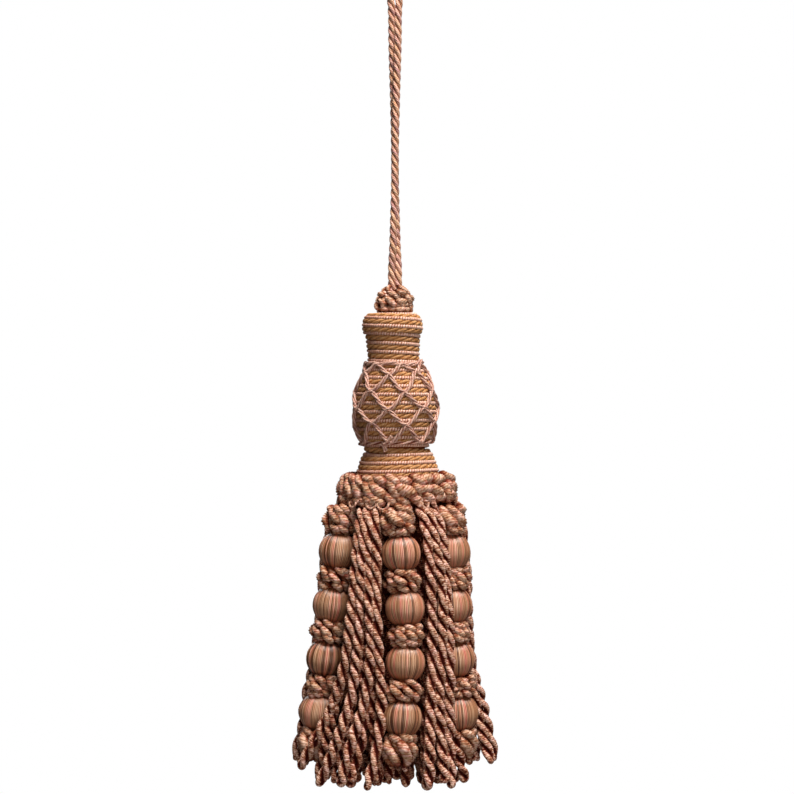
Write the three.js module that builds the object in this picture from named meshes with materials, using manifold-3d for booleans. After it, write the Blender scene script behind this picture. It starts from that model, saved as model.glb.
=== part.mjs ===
// A key tassel. A doubled, twisted cord carries a cord-wound head with a netted belly. Under the
// head's collar hang six strings of covered beads, with knotted ruffs between the beads, and a skirt
// of twisted bullion fringe. Millimetres, +Z up, the front faces -Y. The origin is the bearing point
// inside the top bend of the hanging loop.

import * as THREE from "three";
import { mergeGeometries, mergeVertices } from "three/addons/utils/BufferGeometryUtils.js";
import Module from "manifold-3d";

const wasm = await Module();
wasm.setup();

// Driving dimensions, in millimetres and degrees. A level is a height, so levels below the origin are
// negative.
const CORD_DIAMETER = 2.35;
const CORD_TWIST_PITCH = 10;
const CORD_STEPS_PER_TURN = 5;
const CORD_SIDES = 9;
const CORD_GROOVE_SHARE = 0.55;
const KNOT_TOP = -102.9;
const KNOT_ROLLS = { count: 7, height: 0.4, lean: 1.1 };
const HEAD_TOP = -110.45;
const HEAD_BASE = -158.1;
const HEAD_LEAN = -1.9;
const HEAD_OFFSET = 0.7;
const HEAD_SIDES = 20;
const WINDING_LEAD = 2.65;
const WINDING_DEPTH = 0.55;
const FOOT_RADIUS = 9.5;
const FOOT_BOTTOM = -170.4;
const NET_YARN = 1.0;
const NET_AIR = 0.4;
const NET_KNOT_HEIGHT = 0.5;
const NET_SIDE_HEIGHT = 0.7;
const NET_COLUMNS = 7;
const NET_FIRST_KNOT = -10;
const NET_AZIMUTH_SLIP = 2.2;
const NET_LEVEL_SLIP = 0.6;
const COLLAR_BORE = 10.4;
const COLLAR_BOTTOM = -167.4;
const COLLAR_ROLLS = { count: 22, height: 0.7, lean: 0.55 };
const BEAD_DIAMETER = 11.6;
const BEAD_SIDES = 10;
const BEAD_BANDS = 5;
const BEAD_LEVEL = -181.4;
const BEAD_PITCH = 15.8;
const BEADS_PER_STRING = 4;
const FIRST_RUFF_STATION = -8.8;
const RUFF_ROLLS = { count: 5, height: 0.45, lean: 0.9 };
const STRAND_WIDTH = 2.5;
const STRAND_THICKNESS = 1.5;
const STRAND_TOP = -168.2;
const STRAND_FOOT = -247.2;
const STRAND_FOOT_SLIP = 1.6;
const STRAND_SIDE_LIFT = 4.5;
const STRAND_REACH_SLIP = 0.6;
const STRAND_STEPS = 14;
const STRAND_TURNS = -2.4;
const STRAND_ROOT_FULLNESS = 0.5;
const STRAND_FULL_SHARE = 0.2;
const STRAND_SHOULDER_SHARE = 0.05;
const MIDDLE_INWARD = 3.6;
const CORE_STRANDS = 12;
const CORE_SHOULDER = 10.9;
const CORE_REACH = 12.6;
const CORE_STEPS = 8;
const HEADING_TOP = -167.7;
const HEADING_BOTTOM = -168.5;
const HEADING_OUTER = 17.8;
const HEADING_SIDES = 36;
const WELD_DISTANCE = 1e-4;

// The yarns: the hanging cord, the head's winding, the net, the knotted trim, the beads' satin thread
// and the fringe.
const YARNS = {
  cord: { color: 0xc4a08f, roughness: 0.8 },
  winding: { color: 0xae8062, roughness: 0.75 },
  net: { color: 0xc79e8c, roughness: 0.9 },
  trim: { color: 0xb68770, roughness: 0.85 },
  satin: { color: 0xb2846b, roughness: 0.55 },
  fringe: { color: 0xa27059, roughness: 0.8 },
};

// One leg of the hanging loop, from the knot up to the top of the bend. The other leg is the same
// route turned half a turn about Z, so the two legs wind half a turn round each other.
const LOOP_LEG = [
  { x: -1.33, y: 0.0, z: -102.6 },
  { x: -1.3, y: -0.25, z: -97.0 },
  { x: -0.85, y: -1.02, z: -91.0 },
  { x: -0.6, y: -1.19, z: -85.0 },
  { x: -0.3, y: -1.3, z: -78.0 },
  { x: 0.0, y: -1.33, z: -68.0 },
  { x: 0.1, y: -1.33, z: -60.0 },
  { x: 0.35, y: -1.28, z: -51.5 },
  { x: 0.65, y: -1.16, z: -43.0 },
  { x: 0.98, y: -0.9, z: -35.0 },
  { x: 1.22, y: -0.53, z: -27.5 },
  { x: 1.33, y: -0.15, z: -20.5 },
  { x: 1.6, y: 0.0, z: -15.5 },
  { x: 3.5, y: 0.0, z: -11.0 },
  { x: 5.0, y: 0.0, z: -6.2 },
  { x: 4.35, y: 0.0, z: -1.6 },
  { x: 2.3, y: 0.0, z: 0.65 },
];
const LOOP_CROWN = { x: 0.0, y: 0.0, z: 1.18 };

// The top knot's profile, from its underside up to the small flat where the cord enters it.
const KNOT_PROFILE = [
  { radius: 0, level: -110.0, rolled: 0 },
  { radius: 4.5, level: -110.0, rolled: 1 },
  { radius: 5.7, level: -108.6, rolled: 1 },
  { radius: 5.7, level: -105.9, rolled: 1 },
  { radius: 4.6, level: -104.1, rolled: 1 },
  { radius: 3.2, level: KNOT_TOP, rolled: 0 },
  { radius: 0, level: KNOT_TOP, rolled: 0 },
];

// The head's outline over the crests of its winding, from the base up to the cap.
const HEAD_OUTLINE = [
  { level: -158.1, radius: 12.5 },
  { level: -156.0, radius: 11.9 },
  { level: -153.2, radius: 10.9 },
  { level: -151.2, radius: 9.8 },
  { level: -148.6, radius: 10.8 },
  { level: -145.5, radius: 11.8 },
  { level: -142.0, radius: 12.3 },
  { level: -138.9, radius: 12.5 },
  { level: -135.2, radius: 12.0 },
  { level: -132.0, radius: 11.0 },
  { level: -129.0, radius: 9.8 },
  { level: -126.5, radius: 8.5 },
  { level: -124.5, radius: 7.9 },
  { level: -120.0, radius: 8.1 },
  { level: -117.2, radius: 8.4 },
  { level: -115.8, radius: 9.1 },
  { level: -113.3, radius: 9.1 },
  { level: -111.6, radius: 8.5 },
  { level: -110.45, radius: 7.2 },
];

// The rows of the net's knots, from its top ring to its bottom ring.
const NET_ROWS = [
  { level: -125.6, halfStep: 1 },
  { level: -128.4, halfStep: 0 },
  { level: -133.6, halfStep: 1 },
  { level: -138.9, halfStep: 0 },
  { level: -143.6, halfStep: 1 },
  { level: -149.2, halfStep: 0 },
];

// The collar's profile round the head's foot, from its underside up. It closes on itself.
const COLLAR_PROFILE = [
  { radius: COLLAR_BORE, level: COLLAR_BOTTOM, rolled: 0 },
  { radius: 17.0, level: COLLAR_BOTTOM, rolled: 1 },
  { radius: 18.3, level: -165.8, rolled: 1 },
  { radius: 18.2, level: -163.8, rolled: 1 },
  { radius: 17.4, level: -162.2, rolled: 1 },
  { radius: 17.2, level: -160.6, rolled: 1 },
  { radius: 15.6, level: -158.9, rolled: 1 },
  { radius: COLLAR_BORE, level: -158.9, rolled: 0 },
  { radius: COLLAR_BORE, level: COLLAR_BOTTOM, rolled: 0 },
];

// A knotted ruff's profile about its own middle. Its hollow faces take the beads above and below it.
const RUFF_PROFILE = [
  { radius: 0, level: -1.0, rolled: 0 },
  { radius: 3.9, level: -3.0, rolled: 1 },
  { radius: 5.4, level: 0.0, rolled: 1 },
  { radius: 3.9, level: 3.0, rolled: 1 },
  { radius: 0, level: 1.0, rolled: 0 },
];

// The first ruff of a string is slimmer and taller, and it hangs right under the heading.
const FIRST_RUFF_PROFILE = [
  { radius: 0, level: -1.9, rolled: 0 },
  { radius: 3.7, level: -3.8, rolled: 1 },
  { radius: 5.0, level: -0.2, rolled: 1 },
  { radius: 3.7, level: 3.6, rolled: 1 },
  { radius: 0, level: 3.1, rolled: 0 },
];

// The last ruff of a string ends in a longer tuft.
const LAST_RUFF_PROFILE = [
  { radius: 0, level: -5.4, rolled: 0 },
  { radius: 3.2, level: -6.6, rolled: 1 },
  { radius: 5.2, level: -0.8, rolled: 1 },
  { radius: 3.9, level: 3.0, rolled: 1 },
  { radius: 0, level: 1.0, rolled: 0 },
];

// The bead strings: their azimuth from the front towards +X, the distance from the tassel's axis at
// the first and the last bead, and how far each one bows sideways.
const STRINGS = [
  { azimuth: -65, topRadius: 19.4, footRadius: 25.6, bow: 0.3 },
  { azimuth: 3.3, topRadius: 19.4, footRadius: 24.0, bow: 1.2 },
  { azimuth: 56.5, topRadius: 19.0, footRadius: 21.8, bow: -0.6 },
  { azimuth: 126, topRadius: 19.0, footRadius: 21.8, bow: 0.8 },
  { azimuth: 181, topRadius: 19.4, footRadius: 24.0, bow: -0.9 },
  { azimuth: 235.5, topRadius: 19.4, footRadius: 25.0, bow: 0.5 },
];

// The front and back layers of the fringe in each gap to the right of a string: the number of strands,
// their distance from the axis under the collar, and how late they flare out. The first and the last
// strand have their azimuth at the top, middle and foot, and the foot's distance from the axis.
const FRONT_LAYERS = [
  {
    strands: 4, shoulder: 20.4, flare: 1.0,
    first: { top: -36.0, middle: -34.0, foot: -63.0, reach: 33.0 },
    last: { top: -21.5, middle: -11.8, foot: -16.0, reach: 29.4 },
  },
  {
    strands: 3, shoulder: 21.4, flare: 1.0,
    first: { top: 23.5, middle: 23.0, foot: 19.5, reach: 29.4 },
    last: { top: 36.5, middle: 38.0, foot: 31.0, reach: 29.4 },
  },
  {
    strands: 4, shoulder: 18.9, flare: 2.4,
    first: { top: 78.5, middle: 76.0, foot: 73.0, reach: 29.4 },
    last: { top: 104.0, middle: 107.0, foot: 110.0, reach: 29.4 },
  },
  {
    strands: 3, shoulder: 20.4, flare: 1.0,
    first: { top: 147.5, middle: 144.0, foot: 140.0, reach: 29.4 },
    last: { top: 159.5, middle: 163.0, foot: 167.0, reach: 29.4 },
  },
  {
    strands: 3, shoulder: 20.4, flare: 1.0,
    first: { top: 202.5, middle: 199.0, foot: 195.0, reach: 29.4 },
    last: { top: 214.0, middle: 217.5, foot: 221.5, reach: 29.4 },
  },
  {
    strands: 3, shoulder: 19.9, flare: 1.2,
    first: { top: 257.5, middle: 253.5, foot: 249.5, reach: 29.4 },
    last: { top: 273.0, middle: 277.0, foot: 281.0, reach: 29.4 },
  },
];
const BACK_LAYERS = [
  {
    strands: 3, shoulder: 16.8, flare: 1.0,
    first: { top: -37.0, middle: -34.0, foot: -55.0, reach: 29.5 },
    last: { top: -21.5, middle: -18.0, foot: -14.5, reach: 26.0 },
  },
  {
    strands: 2, shoulder: 16.8, flare: 1.0,
    first: { top: 26.8, middle: 26.5, foot: 20.5, reach: 26.6 },
    last: { top: 33.7, middle: 34.5, foot: 38.5, reach: 26.6 },
  },
  {
    strands: 4, shoulder: 15.3, flare: 2.0,
    first: { top: 80.0, middle: 79.5, foot: 77.0, reach: 23.0 },
    last: { top: 102.5, middle: 103.0, foot: 105.5, reach: 23.0 },
  },
  {
    strands: 2, shoulder: 16.8, flare: 1.0,
    first: { top: 150.0, middle: 146.5, foot: 143.0, reach: 26.6 },
    last: { top: 157.0, middle: 160.5, foot: 164.0, reach: 26.6 },
  },
  {
    strands: 2, shoulder: 16.8, flare: 1.0,
    first: { top: 205.0, middle: 201.5, foot: 198.0, reach: 26.6 },
    last: { top: 211.5, middle: 215.0, foot: 218.5, reach: 26.6 },
  },
  {
    strands: 3, shoulder: 16.3, flare: 1.2,
    first: { top: 259.5, middle: 256.0, foot: 252.5, reach: 26.6 },
    last: { top: 271.0, middle: 274.5, foot: 278.0, reach: 26.6 },
  },
];

// How far from the axis the strands of each layer are sewn into the heading.
const STRAND_ROOTS = { front: 16.6, back: 14.2, middle: 12.9, core: 11.6 };

const radians = THREE.MathUtils.degToRad;

// A repeatable number from -1 to 1 for each pair of numbers, for the small unevenness of handwork.
function unevenness(first, second) {
  const wave = Math.sin(first * 12.9898 + second * 78.233) * 43758.5453;
  return 2 * (wave - Math.floor(wave)) - 1;
}

// A point at an azimuth from the front, a distance from the axis and a level.
function around(azimuth, radius, level) {
  const angle = radians(azimuth);
  return new THREE.Vector3(radius * Math.sin(angle), -radius * Math.cos(angle), level);
}

// The head's radius over its winding at a level, along straight lines between the outline's rows.
function headRadius(level) {
  const upper = Math.max(1, HEAD_OUTLINE.findIndex((row) => row.level >= level));
  const below = HEAD_OUTLINE[upper - 1];
  const above = HEAD_OUTLINE[upper];
  const share = (level - below.level) / (above.level - below.level);
  return THREE.MathUtils.lerp(below.radius, above.radius, share);
}

// A turned form about Z. The profile's rows run from the bottom up.
function turned(profile, sides) {
  const points = profile.map(({ radius, level }) => new THREE.Vector2(radius, level));
  return new THREE.LatheGeometry(points, sides).rotateX(Math.PI / 2);
}

// A turned form whose rolled rows are raised into ridges of thick gimp that lean as they go round.
// Each roll has one crest and one groove.
function rolledForm(profile, { count, height, lean }) {
  const sides = 2 * count;
  const form = turned(profile, sides);
  const points = form.getAttribute("position");
  for (let index = 0; index < points.count; index++) {
    const { radius, level, rolled } = profile[index % profile.length];
    if (!rolled) continue;
    const turn = (2 * Math.PI * Math.floor(index / profile.length)) / sides;
    const raised = radius + height * Math.cos(count * turn + lean * level);
    points.setXY(index, raised * Math.sin(turn), -raised * Math.cos(turn));
  }
  return form;
}

// A closed strand: a prism of the section, twisted as it runs, with its points laid along the route.
// A negative number of turns leans the twist down to the right, as in these cords. The fullness
// scales the section along the route.
function layStrand(section, steps, turns, route, sideways, fullness = () => 1) {
  const strand = new THREE.ExtrudeGeometry(section, { depth: 1, steps, bevelEnabled: false });
  const points = strand.getAttribute("position");
  for (let index = 0; index < points.count; index++) {
    const along = THREE.MathUtils.clamp(points.getZ(index), 0, 1);
    const ahead = route.getTangent(along);
    const first = sideways.clone().addScaledVector(ahead, -sideways.dot(ahead)).normalize();
    const second = ahead.clone().cross(first);
    const angle = 2 * Math.PI * turns * along;
    const x = points.getX(index) * fullness(along);
    const y = points.getY(index) * fullness(along);
    const place = route.getPoint(along);
    place.addScaledVector(first, x * Math.cos(angle) - y * Math.sin(angle));
    place.addScaledVector(second, x * Math.sin(angle) + y * Math.cos(angle));
    points.setXYZ(index, place.x, place.y, place.z);
  }
  return strand;
}

// A section with equal sides, whose corners' distances repeat the given radii.
function ringSection(corners, radii) {
  const points = [];
  for (let corner = 0; corner < corners; corner++) {
    const angle = (2 * Math.PI * corner) / corners;
    const radius = radii[corner % radii.length];
    points.push(new THREE.Vector2(radius * Math.cos(angle), radius * Math.sin(angle)));
  }
  return new THREE.Shape(points);
}

// A route worked out by a function of the share from its start to its end.
class WorkedRoute extends THREE.Curve {
  constructor(place) {
    super();
    this.place = place;
  }

  getPoint(share) {
    return this.place(share);
  }
}

function toSolid(geometry) {
  const bare = geometry.clone();
  bare.deleteAttribute("normal");
  bare.deleteAttribute("uv");
  const merged = mergeVertices(bare, WELD_DISTANCE);
  const vertProperties = new Float32Array(merged.getAttribute("position").array);
  const triVerts = new Uint32Array(merged.index.array);
  return new wasm.Manifold(new wasm.Mesh({ numProp: 3, vertProperties, triVerts }));
}

// Joins closed geometries into one.
function fuse(geometries) {
  const whole = geometries.map(toSolid).reduce((sum, piece) => sum.add(piece));
  const mesh = whole.getMesh();
  const joined = new THREE.BufferGeometry();
  joined.setAttribute("position", new THREE.BufferAttribute(mesh.vertProperties, mesh.numProp));
  joined.setIndex(new THREE.BufferAttribute(mesh.triVerts, 1));
  return joined;
}

function piece(name, geometry, { color, roughness }) {
  const material = new THREE.MeshStandardMaterial({ color, roughness, metalness: 0 });
  const mesh = new THREE.Mesh(geometry, material);
  mesh.name = name;
  return mesh;
}

// The hanging loop: a three-ply cord, up one leg, over the bend and down the other.
function hangingLoop() {
  const up = LOOP_LEG.map(({ x, y, z }) => new THREE.Vector3(x, y, z));
  const crown = new THREE.Vector3(LOOP_CROWN.x, LOOP_CROWN.y, LOOP_CROWN.z);
  const down = LOOP_LEG.map(({ x, y, z }) => new THREE.Vector3(-x, -y, z)).reverse();
  const route = new THREE.CatmullRomCurve3([...up, crown, ...down]);
  route.arcLengthDivisions = 1000;
  const even = new WorkedRoute((share) => route.getPointAt(share));
  const turns = Math.round(route.getLength() / CORD_TWIST_PITCH);
  const crest = CORD_DIAMETER / 2;
  const section = ringSection(CORD_SIDES, [crest, crest, crest * CORD_GROOVE_SHARE]);
  const sideways = new THREE.Vector3(0, 1, 0);
  return layStrand(section, turns * CORD_STEPS_PER_TURN, -turns, even, sideways);
}

// The wound head: a groove and a crest for each turn of the winding, on a plain foot that carries
// the collar and the fringe.
function woundHead() {
  const profile = [
    { radius: 0, level: FOOT_BOTTOM },
    { radius: FOOT_RADIUS, level: FOOT_BOTTOM },
    { radius: FOOT_RADIUS, level: HEAD_BASE },
  ];
  const turns = Math.floor((HEAD_TOP - HEAD_BASE) / WINDING_LEAD);
  for (let turn = 0; turn < turns; turn++) {
    const groove = HEAD_BASE + turn * WINDING_LEAD;
    const crest = groove + WINDING_LEAD / 2;
    profile.push({ radius: headRadius(groove) - WINDING_DEPTH, level: groove });
    profile.push({ radius: headRadius(crest), level: crest });
  }
  profile.push({ radius: headRadius(HEAD_TOP) - WINDING_DEPTH, level: HEAD_TOP });
  profile.push({ radius: 0, level: HEAD_TOP });
  return turned(profile, HEAD_SIDES);
}

// Where the net's knot sits, drawn flat: the azimuth in degrees, the level, and the knot's rise above
// the yarn. The inner rows have the unevenness of hand knotting.
function netKnot(row, column) {
  const pitch = 360 / NET_COLUMNS;
  const { level, halfStep } = NET_ROWS[row];
  const azimuth = NET_FIRST_KNOT + pitch * (column + halfStep / 2);
  const knot = new THREE.Vector3(azimuth, level, NET_KNOT_HEIGHT);
  if (row === 0 || row === NET_ROWS.length - 1) return knot;
  knot.x += NET_AZIMUTH_SLIP * unevenness(row, column % NET_COLUMNS);
  knot.y += NET_LEVEL_SLIP * unevenness(column % NET_COLUMNS, row);
  return knot;
}

// The middle of the yarn between two knots.
function betweenKnots(first, second) {
  return first.clone().lerp(second, 0.5).setZ(0);
}

// The outer edge of the top or bottom ring over one gap. The side is 1 above the ring, -1 below it.
function ringEdge(row, left, side) {
  const start = netKnot(row, left);
  const end = netKnot(row, left + 1);
  return [0, 1 / 3, 2 / 3, 1].map((share) => {
    const point = start.clone().lerp(end, share);
    return new THREE.Vector3(point.x, point.y + (side * NET_YARN) / 2, 0);
  });
}

// The yarns' middles round one gap, clockwise from its left knot.
function gapLoop(row, left) {
  const last = NET_ROWS.length - 1;
  const middle = left + NET_ROWS[row].halfStep;
  const leftKnot = netKnot(row, left);
  const rightKnot = netKnot(row, left + 1);
  const upper = row > 0 ? netKnot(row - 1, middle) : null;
  const lower = row < last ? netKnot(row + 1, middle) : null;
  const over = upper
    ? [betweenKnots(leftKnot, upper), upper, betweenKnots(upper, rightKnot)]
    : ringEdge(row, left, 1);
  const under = lower
    ? [betweenKnots(rightKnot, lower), lower, betweenKnots(lower, leftKnot)]
    : ringEdge(row, left, -1).reverse();
  return [leftKnot, ...over, rightKnot, ...under];
}

// Wraps a flat point of the net round the belly, at a height above the winding.
function wrapNet(point, height) {
  return around(point.x, headRadius(point.y) + height, point.y);
}

// A strip of the net between rows of places, each row a list of points of the same length.
function netStrip(rows) {
  const strip = new THREE.PlaneGeometry(1, 1, rows[0].length - 1, rows.length - 1);
  strip.setFromPoints(rows.flat());
  strip.deleteAttribute("normal");
  strip.deleteAttribute("uv");
  return strip;
}

// One panel of the net: the near halves of the yarns round one gap, from the yarns' middles to the
// gap and back underneath. Neighbouring panels meet along the yarns' middles.
function netPanel(row, left) {
  const loop = gapLoop(row, left);
  const centre = new THREE.Vector3();
  loop.forEach((point) => centre.addScaledVector(point, 1 / loop.length));
  const girth = radians(headRadius(centre.y));
  const reach = (loop[1].y - centre.y) ** 2 + (girth * (loop[1].x - centre.x)) ** 2;
  const drawnIn = 1 - NET_YARN / 2 / Math.sqrt(reach);
  const closed = [...loop, loop[0]];
  const sides = closed.map((point) => centre.clone().lerp(point, drawnIn));
  return netStrip([
    closed.map((point) => wrapNet(point, NET_AIR + NET_YARN + point.z)),
    sides.map((point) => wrapNet(point, NET_AIR + NET_YARN * NET_SIDE_HEIGHT)),
    sides.map((point) => wrapNet(point, NET_AIR)),
    closed.map((point) => wrapNet(point, NET_AIR)),
  ]);
}

// The outer wall of the top or bottom ring over one gap.
function ringWall(row, left, side) {
  const edge = ringEdge(row, left, side);
  const over = edge.map((point) => wrapNet(point, NET_AIR + NET_YARN));
  const under = edge.map((point) => wrapNet(point, NET_AIR));
  return netStrip(side > 0 ? [under, over] : [over, under]);
}

// The belly's net: a panel for each gap between the yarns, closed by the two rings' outer walls.
function bellyNet() {
  const last = NET_ROWS.length - 1;
  const pieces = [];
  for (let left = 0; left < NET_COLUMNS; left++) {
    NET_ROWS.forEach((_, row) => pieces.push(netPanel(row, left)));
    pieces.push(ringWall(0, left, 1), ringWall(last, left, -1));
  }
  return mergeVertices(mergeGeometries(pieces), WELD_DISTANCE);
}

// A strand's route: down from the heading, out under the collar, then down and outwards to its foot.
// The feet at the sides hang a little higher.
function strandRoute(root, { shoulder, flare }, { top, middle, foot, reach }) {
  const { lerp } = THREE.MathUtils;
  const footRadius = reach + STRAND_REACH_SLIP * unevenness(foot, root);
  const lift = STRAND_SIDE_LIFT * Math.sin(radians(foot)) ** 4;
  const footLevel = STRAND_FOOT + lift + STRAND_FOOT_SLIP * unevenness(root, foot);
  return new WorkedRoute((share) => {
    const out = 1 - Math.exp(-share / STRAND_SHOULDER_SHARE);
    const radius = root + out * (shoulder - root) + share ** flare * (footRadius - shoulder);
    const bowed = 4 * share * (1 - share) * (middle - (top + foot) / 2);
    return around(lerp(top, foot, share) + bowed, radius, lerp(STRAND_TOP, footLevel, share));
  });
}

// A strand is thinner where it is sewn into the heading.
function strandFullness(share) {
  const filled = THREE.MathUtils.smoothstep(share, 0, STRAND_FULL_SHARE);
  return THREE.MathUtils.lerp(STRAND_ROOT_FULLNESS, 1, filled);
}

// The places of a layer's strands, shared out from the first one to the last.
function strandEdges({ strands, first, last }) {
  const columns = Object.keys(first);
  return Array.from({ length: strands }, (_, strand) => {
    const share = strand / (strands - 1);
    return Object.fromEntries(
      columns.map((column) => [column, THREE.MathUtils.lerp(first[column], last[column], share)]),
    );
  });
}

// All the strands of one layer in one gap, fanned out from the collar to the foot. Neighbours are a
// quarter turn apart in their twist, so that they nest.
function outerStrands(layer, root) {
  const section = ringSection(4, [STRAND_WIDTH / 2, STRAND_THICKNESS / 2]);
  return strandEdges(layer).map((edge, strand) => {
    const sideways = around(strand % 2 ? edge.top : edge.top + 90, 1, 0);
    const route = strandRoute(root, layer, edge);
    return layStrand(section, STRAND_STEPS, STRAND_TURNS, route, sideways, strandFullness);
  });
}

// A plain strand of the inside of the skirt.
function innerStrand(root, layer, edge) {
  const section = ringSection(3, [STRAND_WIDTH / 2]);
  const route = strandRoute(root, layer, edge);
  return layStrand(section, CORE_STEPS, 0, route, around(edge.top + 90, 1, 0), strandFullness);
}

// The strand behind the middle of a back layer.
function middleStrand({ shoulder, flare, first, last }) {
  const [, edge] = strandEdges({ strands: 3, first, last });
  const layer = { shoulder: shoulder - MIDDLE_INWARD, flare };
  return innerStrand(STRAND_ROOTS.middle, layer, { ...edge, reach: edge.reach - MIDDLE_INWARD });
}

// The strands behind the bead strings, round the middle of the skirt.
function coreStrands() {
  const layer = { shoulder: CORE_SHOULDER, flare: 1 };
  return Array.from({ length: CORE_STRANDS }, (_, strand) => {
    const azimuth = (360 * (strand + 0.5)) / CORE_STRANDS;
    const edge = { top: azimuth, middle: azimuth, foot: azimuth, reach: CORE_REACH };
    return innerStrand(STRAND_ROOTS.core, layer, edge);
  });
}

// The fringe: a flat heading ring under the collar with the strands' roots fused into it.
function bullionFringe() {
  const heading = [
    { radius: COLLAR_BORE, level: HEADING_BOTTOM },
    { radius: HEADING_OUTER, level: HEADING_BOTTOM },
    { radius: HEADING_OUTER, level: HEADING_TOP },
    { radius: COLLAR_BORE, level: HEADING_TOP },
    { radius: COLLAR_BORE, level: HEADING_BOTTOM },
  ];
  const strands = [
    ...FRONT_LAYERS.flatMap((layer) => outerStrands(layer, STRAND_ROOTS.front)),
    ...BACK_LAYERS.flatMap((layer) => outerStrands(layer, STRAND_ROOTS.back)),
    ...BACK_LAYERS.map(middleStrand),
    ...coreStrands(),
  ];
  return fuse([turned(heading, HEADING_SIDES), ...strands]);
}

function coveredBead() {
  return new THREE.SphereGeometry(BEAD_DIAMETER / 2, BEAD_SIDES, BEAD_BANDS).rotateX(Math.PI / 2);
}

// A place on a string, by its distance along the string from the first bead's middle.
function stringPoint({ azimuth, topRadius, footRadius, bow }, station) {
  const reach = BEAD_PITCH * (BEADS_PER_STRING - 1);
  const share = station / reach;
  const point = around(azimuth, THREE.MathUtils.lerp(topRadius, footRadius, share), BEAD_LEVEL - station);
  const sideways = around(azimuth + 90, bow * Math.sin(Math.PI * share), 0);
  return point.add(sideways);
}

// Puts a piece on its string, with its axis along the string.
function thread(mesh, string, station) {
  const ahead = stringPoint(string, station + 1).sub(stringPoint(string, station - 1)).normalize();
  mesh.position.copy(stringPoint(string, station));
  mesh.quaternion.setFromUnitVectors(new THREE.Vector3(0, 0, -1), ahead);
  return mesh;
}

function knottedRuff(number, place, profile) {
  return piece(`ruff_s${number}_${place}`, rolledForm(profile, RUFF_ROLLS), YARNS.trim);
}

// A string: the first ruff, then each bead with the ruff under it.
function beadString(string, number) {
  const group = new THREE.Group();
  group.add(thread(knottedRuff(number, 0, FIRST_RUFF_PROFILE), string, FIRST_RUFF_STATION));
  for (let place = 1; place <= BEADS_PER_STRING; place++) {
    const station = BEAD_PITCH * (place - 1);
    const bead = piece(`bead_s${number}_${place}`, coveredBead(), YARNS.satin);
    const profile = place < BEADS_PER_STRING ? RUFF_PROFILE : LAST_RUFF_PROFILE;
    const ruff = knottedRuff(number, place, profile);
    group.add(thread(bead, string, station), thread(ruff, string, station + BEAD_PITCH / 2));
  }
  return group;
}

const head = new THREE.Group();
head.position.set(HEAD_OFFSET, 0, HEAD_BASE);
head.rotation.y = radians(HEAD_LEAN);
const headPieces = new THREE.Group();
headPieces.position.z = -HEAD_BASE;
headPieces.add(piece("wound_head", woundHead(), YARNS.winding));
headPieces.add(piece("belly_net", bellyNet(), YARNS.net));
head.add(headPieces);

const skirt = new THREE.Group();
skirt.position.x = HEAD_OFFSET;
skirt.add(piece("collar_braid", rolledForm(COLLAR_PROFILE, COLLAR_ROLLS), YARNS.trim));
skirt.add(piece("bullion_fringe", bullionFringe(), YARNS.fringe));
STRINGS.forEach((string, index) => skirt.add(beadString(string, index + 1)));

const tassel = new THREE.Group();
tassel.add(piece("hanging_loop", hangingLoop(), YARNS.cord));
tassel.add(piece("top_knot", rolledForm(KNOT_PROFILE, KNOT_ROLLS), YARNS.trim));
tassel.add(head, skirt);

export default tassel;
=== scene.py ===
# %% [markdown]
# # A key tassel
# This lesson dresses the solids of a key tassel in yarn. Every piece is laid where its solid is, in the
# same frame: metres, +Z up, the front towards -Y, and the origin inside the top bend of the hanging loop.
# Nearly everything on a tassel is yarn that is twisted, wound, knotted or looped, so one tool that lays a
# yarn along a path does most of the work.

# %% Load the frame
import math
from collections import namedtuple

import bmesh
import bpy
import numpy as np
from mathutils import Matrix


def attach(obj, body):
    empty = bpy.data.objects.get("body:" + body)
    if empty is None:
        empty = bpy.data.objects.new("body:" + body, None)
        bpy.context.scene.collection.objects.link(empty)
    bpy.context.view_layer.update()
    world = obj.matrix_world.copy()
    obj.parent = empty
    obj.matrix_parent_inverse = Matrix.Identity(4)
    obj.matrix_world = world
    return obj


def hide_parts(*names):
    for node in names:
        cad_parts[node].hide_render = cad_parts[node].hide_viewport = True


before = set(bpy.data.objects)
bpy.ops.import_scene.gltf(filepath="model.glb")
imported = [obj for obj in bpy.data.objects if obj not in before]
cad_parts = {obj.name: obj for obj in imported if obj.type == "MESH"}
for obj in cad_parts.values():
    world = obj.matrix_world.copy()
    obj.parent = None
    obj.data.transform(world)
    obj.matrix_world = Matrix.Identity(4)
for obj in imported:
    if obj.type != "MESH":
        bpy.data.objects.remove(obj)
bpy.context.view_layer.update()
MM = 0.001
TURN = 2 * math.pi

# %% [markdown]
# ## The camera
# The photograph looks at the tassel level, from straight ahead and from some way off, so its picture is
# nearly flat. A long lens far away does the same. One pixel is 0.3 mm at the tassel's axis, and that
# fixes the lens once the distance is chosen.

# %% Camera
def placed(name, data):
    """A new object of the scene, at the origin."""
    thing = bpy.data.objects.new(name, data)
    bpy.context.scene.collection.objects.link(thing)
    return thing


PICTURE_SIDE = 794
MM_PER_PIXEL = 0.3
CAMERA_DISTANCE = 750
CAMERA_PLACE = (0.6, -CAMERA_DISTANCE, -135.6)
SENSOR_WIDTH = 36
FARTHEST_SEEN = 50

camera_data = bpy.data.cameras.new("camera")
camera_data.sensor_width = SENSOR_WIDTH
camera_data.lens = SENSOR_WIDTH * CAMERA_DISTANCE / (PICTURE_SIDE * MM_PER_PIXEL)
camera_data.clip_end = FARTHEST_SEEN
camera = placed("camera", camera_data)
camera.location = [MM * value for value in CAMERA_PLACE]
camera.rotation_euler = (math.pi / 2, 0, 0)
bpy.context.scene.camera = camera
print("lens in mm:", round(camera_data.lens, 1))

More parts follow.
